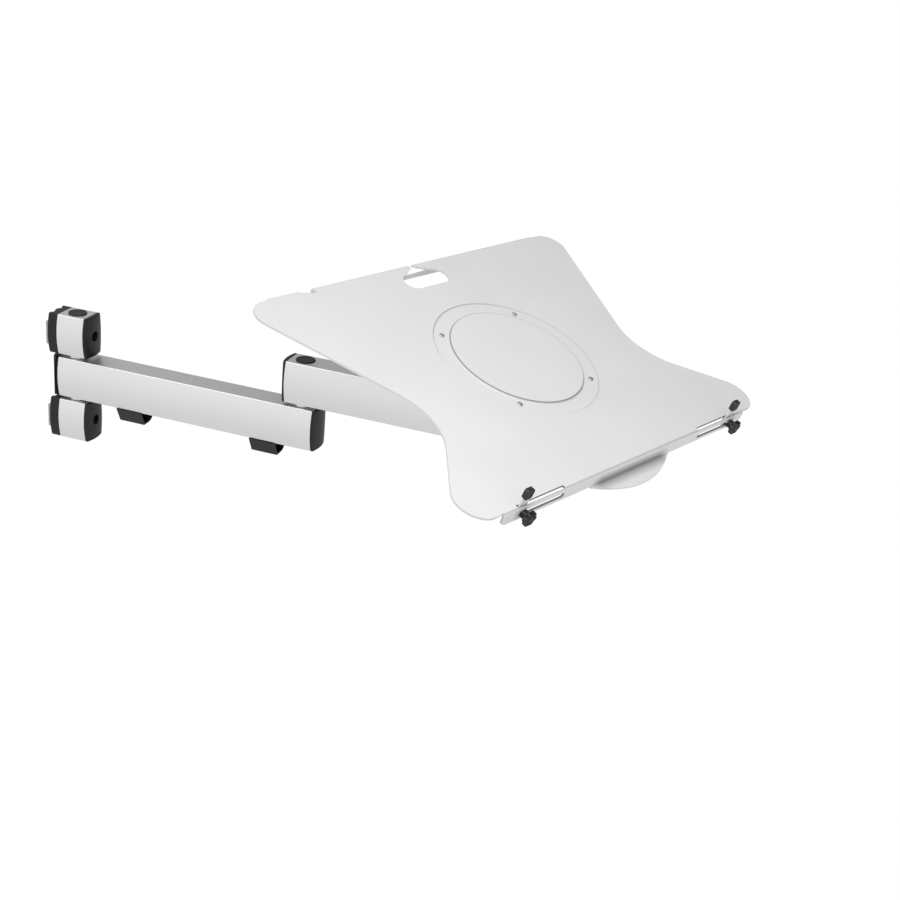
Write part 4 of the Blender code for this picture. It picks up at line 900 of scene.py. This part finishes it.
def sheetHoles(frontBend):
    # cable hole with slit and cut-out as one opening, notch, four slots
    rearEdge, bend, steps = tray["rearEdge"], tray["bend"], tray["endSteps"]
    bottom, half, corner, throat, slit = tray["hole"]
    centre = (half - corner, bottom + corner)
    away = (slit - centre[0], throat - centre[1])
    leave = math.degrees(math.atan2(away[1], away[0]) - math.acos(corner / math.hypot(*away)))
    left, right, top, low = tray["cutout"]
    topLevel, lowLevel = flatLevel(rearEdge, top), flatLevel(rearEdge, low)
    radius = (low - top) / 2
    middle = (topLevel + lowLevel) / 2
    hole = np.concatenate([
        arcPoints(centre, corner, -90, leave, tray["arcSteps"]),
        [(slit, throat), (slit, topLevel)],
        arcPoints((right - radius, middle), radius, -90, 90, steps),
        arcPoints((left + radius, middle), radius, 90, 270, steps),
        [(-slit, topLevel), (-slit, throat)],
        arcPoints(centre, corner, leave, -90, tray["arcSteps"]) * (-1, 1),
    ])
    outer, inner, slant, depth, drop = tray["notch"]
    floor, low = rearEdge + bend - depth, flatLevel(rearEdge, drop)
    notch = [(outer, rearEdge), (inner - slant, floor), (inner, floor), (inner, low), (outer, low)]
    start, end, back, front = tray["slots"]
    front = frontBend + bend * math.asin((front - frontBend) / bend)
    slot = np.array([(start, -front), (end, -front), (end, -back), (start, -back)])
    start, end, high, deep = tray["flangeSlots"]
    radius = (deep - high) / 2
    level = flatLevel(frontBend, (high + deep) / 2)
    stadium = np.concatenate([
        arcPoints((end - radius, -level), radius, -90, 90, steps),
        arcPoints((start + radius, -level), radius, 90, 270, steps),
    ])
    shift = (tray["slotShift"], 0)
    slots = [loop * (side, 1) + shift for loop in (slot, stadium) for side in (1, -1)]
    return [hole, np.array(notch)] + slots


def insideOf(loop, points):
    # even-odd rule: counts the edges that a ray towards +x crosses
    x1, y1 = loop.T
    x2, y2 = np.roll(loop, -1, axis=0).T
    px, py = points[:, :1], points[:, 1:]
    spans = (y1 > py) != (y2 > py)
    rise = np.where(y2 == y1, 1.0, y2 - y1)
    cross = x1 + (py - y1) * (x2 - x1) / rise
    return (np.sum(spans & (px < cross), axis=1) % 2) == 1


def foldSheet(flat, frontBend):
    # plane, quarter circle, flange; the tab turns forward again through its own quarter circle
    x, s = flat.T
    r, quarter = tray["bend"], np.pi / 2
    bendStart = np.where(s > 0, tray["rearEdge"], frontBend)
    past = np.abs(s) - bendStart
    angle = np.clip(past / r, 0, quarter)
    ahead = np.minimum(np.abs(s), bendStart) + r * np.sin(angle)
    down = r * (1 - np.cos(angle)) + np.maximum(past - r * quarter, 0)
    half, _, level, fold = tray["tab"]
    onTab = (s < 0) & (np.abs(x) < half + tray["relief"] / 2)
    over = np.where(onTab, np.maximum(down - (level - fold), 0), 0)
    turn = np.clip(over / fold, 0, quarter)
    ahead = ahead + fold * (1 - np.cos(turn)) + np.maximum(over - fold * quarter, 0)
    down = np.where(over > 0, level - fold + fold * np.sin(turn), down)
    return np.column_stack([x, np.sign(s) * ahead, -down])


def pressHeight(r):
    # down by the ring's depth inside its outer edge, up past zero on the disc, both eased
    ringOut, disc, depth, rise = tray["press"]

    def eased(radius, slope):
        share = np.clip((radius + slope[0] - r) / (slope[0] - slope[1]), 0, 1)
        return share * share * (3 - 2 * share)

    down, up = eased(ringOut, tray["ringSlope"]), eased(disc, tray["discSlope"])
    return -depth * down + (depth + rise) * up


def pressedDisc():
    # polar grid from just outside the ring to the centre, lifted by the height above
    ringOut, disc = tray["press"][:2]
    (ringFrom, ringTo), (discFrom, discTo) = tray["ringSlope"], tray["discSlope"]
    (ringSteps, discSteps), (outer, inner) = tray["slopeRows"], tray["ringRows"]
    radii = np.concatenate([
        [ringOut + tray["pastRing"]],
        np.linspace(ringOut + ringFrom, ringOut + ringTo, ringSteps),
        [ringOut - outer, (ringOut + disc) / 2, disc + inner],
        np.linspace(disc + discFrom, disc + discTo, discSteps),
        [disc - tray["discRow"]],
        disc * np.array(tray["discShares"]),
    ])[:, None]
    return polarGrid(radii, pressHeight(radii), anglesRound(tray["ringSteps"]))


def cutSheet(frontBend, ring):
    # triangles of the flat sheet inside its outline and outside its openings, with lines where
    # it bends
    outline = sheetOutline(frontBend)
    openings = sheetHoles(frontBend) + [ring]
    tabHalf, _, level, fold = tray["tab"]
    bend, reach = tray["bend"], tray["bendLine"]
    turns = np.linspace(0, np.pi / 2, tray["bendSteps"] + 1)
    stations = [(s, reach) for s in tray["rearEdge"] + bend * turns]
    stations += [(-s, reach) for s in frontBend + bend * turns]
    stations += [(-s, tabHalf) for s in flatLevel(frontBend, level - fold) + fold * turns]
    lines = [np.array([(-wide, s), (wide, s)]) for s, wide in stations]
    edges = []
    start = 0
    for loop in [outline] + openings:
        index = np.arange(len(loop)) + start
        edges += np.stack([index, np.roll(index, -1)], axis=-1).tolist()
        start += len(loop)
    edges += [[start + 2 * i, start + 2 * i + 1] for i in range(len(lines))]
    points = np.concatenate([outline] + openings + lines)
    made = delaunay_2d_cdt([Vector(point) for point in points.tolist()], edges, [], 0, 1e-5)
    flat = np.array([tuple(point) for point in made[0]])
    triangles = np.array(made[2])
    centres = flat[triangles].mean(axis=1)
    kept = insideOf(outline, centres)
    for loop in openings:
        kept &= ~insideOf(loop, centres)
    return flat, triangles[kept]


# painted shade on the tray's coat, darker in its corners and creases where light falls off:
# strengths, and distances in metres
paintedShade = {
    "colour": (0.27, 0.27, 0.268),
    "ring": (0.0005, 0.42),  # how far inside the ring's outside, strength
    "disc": (0.0006, 0.95),
    "width": 0.0008,
    "core": 0.3,  # share of that width at full strength
    "fold": (0.85, 0.0005, 0.0105),  # strength, and where its fade starts and ends
    "foldEnds": 0.012,  # length of its fade at the tab's ends
    "line": (0.36, 0.0004, 0.0013),  # a painted shade line along the front bend
}


def trayCoat(frontBend):
    # the white coat, with painted shade in the pressed corners, the tab's fold and along the front
    # bend
    material = makeFinish("whiteCoat")
    material.name = "trayCoat"
    tree = material.node_tree
    shader = tree.nodes["Principled BSDF"]
    coat = shader.inputs["Base Color"].links[0].from_socket
    back = Matrix(trayTurn.tolist()).transposed()
    inputs = {
        "Vector": addNode(tree, "ShaderNodeTexCoord").outputs["Object"],
        "Rotation": tuple(back.to_euler()),
        "Location": tuple(back @ -Vector(trayTop)),
    }
    own = addNode(tree, "ShaderNodeMapping", inputs).outputs["Vector"]

    def lengthOf(share, shift=(0, 0, 0)):
        # length of the tray's own coordinates, each times its share, from a place
        inputs = {"Vector": own, "Scale": share, "Location": shift}
        part = addNode(tree, "ShaderNodeMapping", inputs).outputs["Vector"]
        return addVectorMath(tree, "LENGTH", part)

    masks = []
    width = paintedShade["width"]
    radius = lengthOf((1, 1, 0))
    for outside, (inset, strength) in zip(tray["press"], (paintedShade["ring"], paintedShade["disc"])):
        away = addMath(tree, "SUBTRACT", radius, outside / 1000 - inset)
        away = addMath(tree, "ABSOLUTE", away)
        masks.append(addRange(tree, away, strength, 0, width * paintedShade["core"], width))
    tabHalf, _, level, _ = tray["tab"]
    strength, near, far = paintedShade["fold"]
    face = (0, (frontBend + tray["bend"]) / 1000, level / 1000)
    depth = addRange(tree, lengthOf((0, 1, 1), face), strength, 0, near, far)
    reach = tabHalf / 1000
    across = addRange(tree, lengthOf((1, 0, 0)), 1, 0, reach - paintedShade["foldEnds"], reach)
    masks.append(addMath(tree, "MULTIPLY", depth, across))
    strength, near, far = paintedShade["line"]
    bendLine = (0, (frontBend + tray["bend"] / 2) / 1000, 0)
    masks.append(addRange(tree, lengthOf((0, 1, 0), bendLine), strength, 0, near, far))
    # each mask mixes the painted shade colour into the coat
    for mask in masks:
        inputs = {"Factor": mask, 6: coat, 7: (*paintedShade["colour"], 1)}
        coat = addNode(tree, "ShaderNodeMix", inputs, data_type="RGBA").outputs[2]
    tree.links.new(coat, shader.inputs["Base Color"])
    return material


def nearSlots(mesh):
    # true for the faces within the border round the slots, whose walls take the painted shade
    centres = np.zeros(len(mesh.polygons) * 3)
    mesh.polygons.foreach_get("center", centres)
    x, y, z = ((centres.reshape(-1, 3) - trayTop) @ trayTurn).T * 1000
    x = np.abs(x - tray["slotShift"])
    start, end, back, _ = tray["slots"]
    wide, narrow = tray["worn"]
    near = (x > start - wide) & (x < end + narrow) & (y < wide - back)
    return near & (z >= -tray["flangeSlots"][3] - narrow)


def addTray():
    frontBend = tray["frontEdge"] + tray["frontReach"] - tray["bend"]
    press = pressedDisc()
    flat, triangles = cutSheet(frontBend, press[0, :, :2])
    discPoints, discFaces = gridMesh(press, ends=False)
    points = np.concatenate([foldSheet(flat, frontBend), discPoints]) / 1000
    faces = triangles.tolist() + (np.array(discFaces) + len(flat)).tolist()
    mesh = bpy.data.meshes.new("traySheet")
    mesh.from_pydata((points @ trayTurn.T + trayTop).tolist(), [], faces)
    bm = bmesh.new()
    bm.from_mesh(mesh)
    bmesh.ops.remove_doubles(bm, verts=bm.verts, dist=shared["merge"])
    bmesh.ops.dissolve_degenerate(bm, edges=bm.edges, dist=shared["merge"] / 2)
    bmesh.ops.delete(bm, geom=[v for v in bm.verts if not v.link_faces], context="VERTS")
    bmesh.ops.recalc_face_normals(bm, faces=bm.faces)
    upwards = Vector(trayTurn @ np.array([0, 0, 1]))
    if sum(face.normal.dot(upwards) * face.calc_area() for face in bm.faces) < 0:
        bmesh.ops.reverse_faces(bm, faces=bm.faces)
    level = math.radians(tray["flatAngle"])
    bmesh.ops.dissolve_limit(bm, angle_limit=level, verts=bm.verts, edges=bm.edges)
    bm.to_mesh(mesh)
    bm.free()
    piece = addObject("traySheet", mesh)
    # the second material paints shade on the walls of the slots
    coat, edge = trayCoat(frontBend), makeFinish("slotWallShade")
    for material in (coat, edge):
        mesh.materials.append(material)
    wall = {"thickness": tray["thick"] / 1000, "offset": -1, "use_even_offset": True}
    addModifier(piece, "SOLIDIFY", **wall, material_offset_rim=1)
    applyModifiers(piece)
    soften(piece, tray["edge"], angle=tray["meshEdge"])
    applyModifiers(piece)
    kinds = np.zeros(len(piece.data.polygons), dtype=np.int32)
    piece.data.polygons.foreach_get("material_index", kinds)
    dress(piece, "tray_sheet", coat, sharp=35.0)
    # rim faces away from the slots go back to the coat; the slot walls keep the painted shade
    kinds[~nearSlots(piece.data)] = 0
    piece.data.materials.append(edge)
    piece.data.polygons.foreach_set("material_index", kinds)
    print("tray sheet:", len(piece.data.vertices), "points")


# screws in the pressed ring
trayScrew = {
    "half": 0.050,  # of the square that they form
    "rim": 0.0024,
    "rimEdge": 0.0005,
    "seat": -0.0007,
    "high": 0.0009,
    "shank": 0.0015,
    "tip": -0.0078,
    "socket": 0.0009,
    "socketDepth": 0.0006,
}


def addTrayScrews():
    seat, rim, shank, tip = (trayScrew[key] for key in ("seat", "rim", "shank", "tip"))
    half, eased = trayScrew["half"], trayScrew["rimEdge"]
    top = seat + trayScrew["high"]
    profile = [(0, tip), (shank, tip), (shank, seat), (rim, seat)]
    profile += roundedCorner((rim - eased, top - eased), eased, 0, 90) + [(0, top)]
    span = (top - trayScrew["socketDepth"], top + shared["beyond"])
    mesh = turnedMesh(profile, shared["small"])
    places = [(x, y) for x in (-half, half) for y in (-half, half)]
    for number, (x, y) in enumerate(places, 1):
        place = onTray(x, y, 0)
        screw = makePiece(f"trayScrew{number}", *mesh, trayTurn, place)
        cutHole(screw, trayScrew["socket"], *span, trayTurn, place, 6)
        dress(screw, f"tray_screw_{number}")
    print("tray screws: 4")


# laptop stops
stop = {
    "out": 0.1495,
    "face": 0.1465,
    "level": -0.0065,
    "leaf": 0.0016,
    "bolt": 0.0022,
    "boltHead": 0.0038,
    "boltHeight": 0.0015,
    "boltEdge": 0.0004,
}
knob = {
    "bore": 0.0025,
    "engaged": 0.0065,
    "neck": 0.004,
    "neckLength": 0.0048,
    "neckEdge": 0.0003,
    "fillet": ((0, -0.0008), (0.0003, -0.0002), (0.0009, 0)),  # from the neck's end
    "outer": 0.0071,
    "headLength": 0.0044,
    "lobes": 6,
    "lobeDepth": 0.0011,
    "edge": 0.0008,
    "ringRadius": 0.0039,
    "ringHalf": 0.0006,
    "ringDepth": 0.0008,
    "ringSlant": 0.0001,
    "faceRow": 0.0004,  # inside the ring
    "steps": 144,
}


def knobMesh():
    # radius less a raised cosine of six turns where lobed; rows along the bolt, edges rounded
    neck, length, outer, edge = (knob[key] for key in ("neck", "neckLength", "outer", "edge"))
    bore, eased, slant, half = (knob[key] for key in ("bore", "neckEdge", "ringSlant", "ringHalf"))
    top = length + knob["headLength"]
    floor = top - knob["ringDepth"]
    ringOut, ringIn = knob["ringRadius"] + half, knob["ringRadius"] - half
    rows = [(bore, knob["engaged"], 0), (bore, 0, 0), (neck - eased, 0, 0), (neck, eased, 0)]
    rows += [(neck + out, length + along, 0) for out, along in knob["fillet"]]
    rows += [(r, z, 1) for r, z in roundedCorner((outer - edge, length + edge), edge, -90, 0)]
    rows += [(r, z, 1) for r, z in roundedCorner((outer - edge, top - edge), edge, 0, 90)]
    rows += [(ringOut, top, 0), (ringOut - slant, floor, 0), (ringIn + slant, floor, 0)]
    rows += [(ringIn, top, 0), (ringIn - knob["faceRow"], top, 0), (0, top, 0)]
    radius, height, lobed = np.array(rows).T[:, :, None]
    angle = anglesRound(knob["steps"])
    wave = knob["lobeDepth"] * (1 - np.cos(knob["lobes"] * angle)) / 2
    return gridMesh(polarGrid(radius - lobed * wave, height, angle))


def addStops():
    forward = trayTurn @ turnAbout("X", 90)
    rim, shank, eased = stop["boltHead"], stop["bolt"], stop["boltEdge"]
    seat = shared["gap"] * 3 + stop["leaf"] + tray["thick"] / 1000 - stop["face"]
    back = -seat - stop["boltHeight"]
    tip = stop["face"] + knob["engaged"]
    profile = [(0, back), (rim - eased, back), (rim, back + eased), (rim, -seat)]
    profile += [(shank, -seat), (shank, tip), (0, tip)]
    bolt = turnedMesh(profile, shared["small"])
    for side, word in ((-1, "left"), (1, "right")):
        addSoftCopy(f"{word}_stop_leaf", 0.0003)
        addSoftCopy(f"{word}_stop_pad", 0.0006, 3, sharp=60.0)
        across = side * stop["out"] + tray["slotShift"] / 1000
        axis = onTray(across, 0, stop["level"])
        addPiece(f"{word}_stop_bolt", bolt, forward, axis)
        place = onTray(across, -stop["face"] - shared["gap"], stop["level"])
        addPiece(f"{word}_stop_knob", knobMesh(), forward, place, sharp=40.0)
    print("laptop stops: 8")


# stage: pale floor, soft light, camera
stage = {
    "floor": -0.75,
    "reach": 60.0,
    "floorColour": (0.80, 0.80, 0.80),
    "floorWhite": 0.90,  # share of plain white that the camera sees
    "sheen": (0.05, 0.86),  # the same in reflections, at the centre and at its reach: painted shade near the centre, behind the object
    "sheenReach": 5.2,
    "sheenCentre": (0.7, 1.8),
    "glow": 1.06,
}
lamps = {  # place, aim, size, power; the side lamp lifts the front flange, without a highlight
    "key": ((0.55, -0.50, 0.58), (0.50, -0.16, 0.09), 0.3, 1.75),
    "side": ((1.25, -0.25, -0.30), (0.6, -0.06, 0.06), 0.5, 1.2),
}
studio = {
    "plain": 0.49,  # level for diffuse light
    "lean": 0.367,  # more of it towards the light, less on the other side
    "leanTowards": (-0.10, -0.05, 0.99),
    # in reflections: direction, levels off and on it, cosines between which they change
    "grey": ((0.27, 0.87, 0.41), 1.0, 0.33, 0.25, 0.88),  # behind the object
    "shine": ((-0.27, -0.37, 0.89), 0, 1.2, 0.80, 0.97),  # added for a lamp out of view
    "shade": ((0.87, 0.48, 0.10), 0, -0.8, 0.5, 0.95),  # taken away for a dark screen
}
eye = {
    "lens": 60.22,
    "sensor": 36,
    "clip": (0.05, 50),
    "yaw": -17.4947,
    "pitch": 23.6157,
    "roll": 5.0917,
    "place": (0.805125, -1.221565, 0.56602),
}


def lightPath(tree):
    # what the camera sees, and what shows in gloss or glass
    path = addNode(tree, "ShaderNodeLightPath").outputs
    shiny = addMath(tree, "MAXIMUM", path["Is Glossy Ray"], path["Is Transmission Ray"])
    return path["Is Camera Ray"], shiny


def addFloor():
    reach, height = stage["reach"], stage["floor"]
    mesh = bpy.data.meshes.new("floor")
    corners = [(x * reach, y * reach, height) for x, y in ((-1, -1), (1, -1), (1, 1), (-1, 1))]
    mesh.from_pydata(corners, [], [(0, 1, 2, 3)])
    floor = addObject("floor", mesh)
    sockets = {"Metallic": 0.0, "Roughness": 0.9, "Specular IOR Level": 0.0}
    material = newMaterial("floorPaper", {"Base Color": (*stage["floorColour"], 1), **sockets})
    tree = material.node_tree
    glow = addNode(tree, "ShaderNodeEmission", {"Strength": stage["glow"]}).outputs[0]
    place = addNode(tree, "ShaderNodeTexCoord").outputs["Object"]
    # reflections see less glow near the centre behind the object: painted shade
    away = addVectorMath(tree, "DISTANCE", place, (*stage["sheenCentre"], height))
    sheen = addRange(tree, away, *stage["sheen"], 0.0, stage["sheenReach"])
    camera, shiny = lightPath(tree)
    seen = addMath(tree, "MULTIPLY", shiny, sheen)
    share = addMath(tree, "MULTIPLY_ADD", camera, stage["floorWhite"], seen)
    paper = tree.nodes["Principled BSDF"].outputs["BSDF"]
    surface = tree.nodes["Material Output"].inputs["Surface"]
    tree.links.new(addMix(tree, share, paper, glow), surface)
    mesh.materials.append(material)


def addLamp(name):
    lamp = bpy.data.lights.new(name, "AREA")
    place, aim, lamp.size, lamp.energy = lamps[name]
    holder = addObject(name, lamp)
    holder.location = place
    ahead = Vector(aim) - Vector(place)
    holder.rotation_euler = ahead.to_track_quat("-Z", "Y").to_euler()
    return holder


def addWorld():
    # white for the camera, light that leans to one side for diffuse rays, and for reflections
    # white that turns grey behind the object, with a lamp and a dark screen
    world = bpy.data.worlds.new("studio")
    bpy.context.scene.world = world
    world.use_nodes = True
    tree = world.node_tree
    tree.nodes.clear()
    place = addNode(tree, "ShaderNodeTexCoord").outputs["Generated"]

    def levelTowards(direction, off, on, start, end, ease="SMOOTHSTEP"):
        # a level that follows the cosine to a direction
        cosine = addVectorMath(tree, "DOT_PRODUCT", place, direction)
        return addRange(tree, cosine, off, on, start, end, ease)

    def background(level):
        inputs = {"Color": (1, 1, 1, 1), "Strength": level}
        return addNode(tree, "ShaderNodeBackground", inputs).outputs[0]

    plain, lean = studio["plain"], studio["lean"]
    soft = levelTowards(studio["leanTowards"], plain - lean, plain + lean, -1, 1, "LINEAR")
    mirrored = levelTowards(*studio["grey"])
    for name in ("shine", "shade"):
        mirrored = addMath(tree, "ADD", mirrored, levelTowards(*studio[name]))
    camera, shiny = lightPath(tree)
    light = addMix(tree, shiny, background(soft), background(mirrored))
    surface = addMix(tree, camera, light, background(1.0))
    addNode(tree, "ShaderNodeOutputWorld", {"Surface": surface})


def addCamera():
    # columns of the camera's matrix: right, up and back, rolled about the line of sight
    yaw, pitch, roll = (math.radians(eye[key]) for key in ("yaw", "pitch", "roll"))
    level = math.cos(pitch)
    ahead = np.array([math.sin(yaw) * level, math.cos(yaw) * level, -math.sin(pitch)])
    right = np.array([math.cos(yaw), -math.sin(yaw), 0])
    down = np.cross(ahead, right)
    across = math.cos(roll) * right - math.sin(roll) * down
    below = math.sin(roll) * right + math.cos(roll) * down
    turn = Matrix(np.column_stack([across, -below, -ahead]).tolist()).to_4x4()
    data = bpy.data.cameras.new("eye")
    data.lens = eye["lens"]
    data.sensor_width = eye["sensor"]
    data.clip_start, data.clip_end = eye["clip"]
    camera = addObject("eye", data)
    camera.matrix_world = Matrix.Translation(eye["place"]) @ turn
    bpy.context.scene.camera = camera


addBodies()
addCaps()
addPivots()
addClamp()
addClips()
addHead()
addTray()
addTrayScrews()
addStops()
addFloor()
addLamp("key")
addLamp("side").visible_glossy = False
addWorld()
addCamera()
bpy.context.scene.view_settings.view_transform = "Standard"
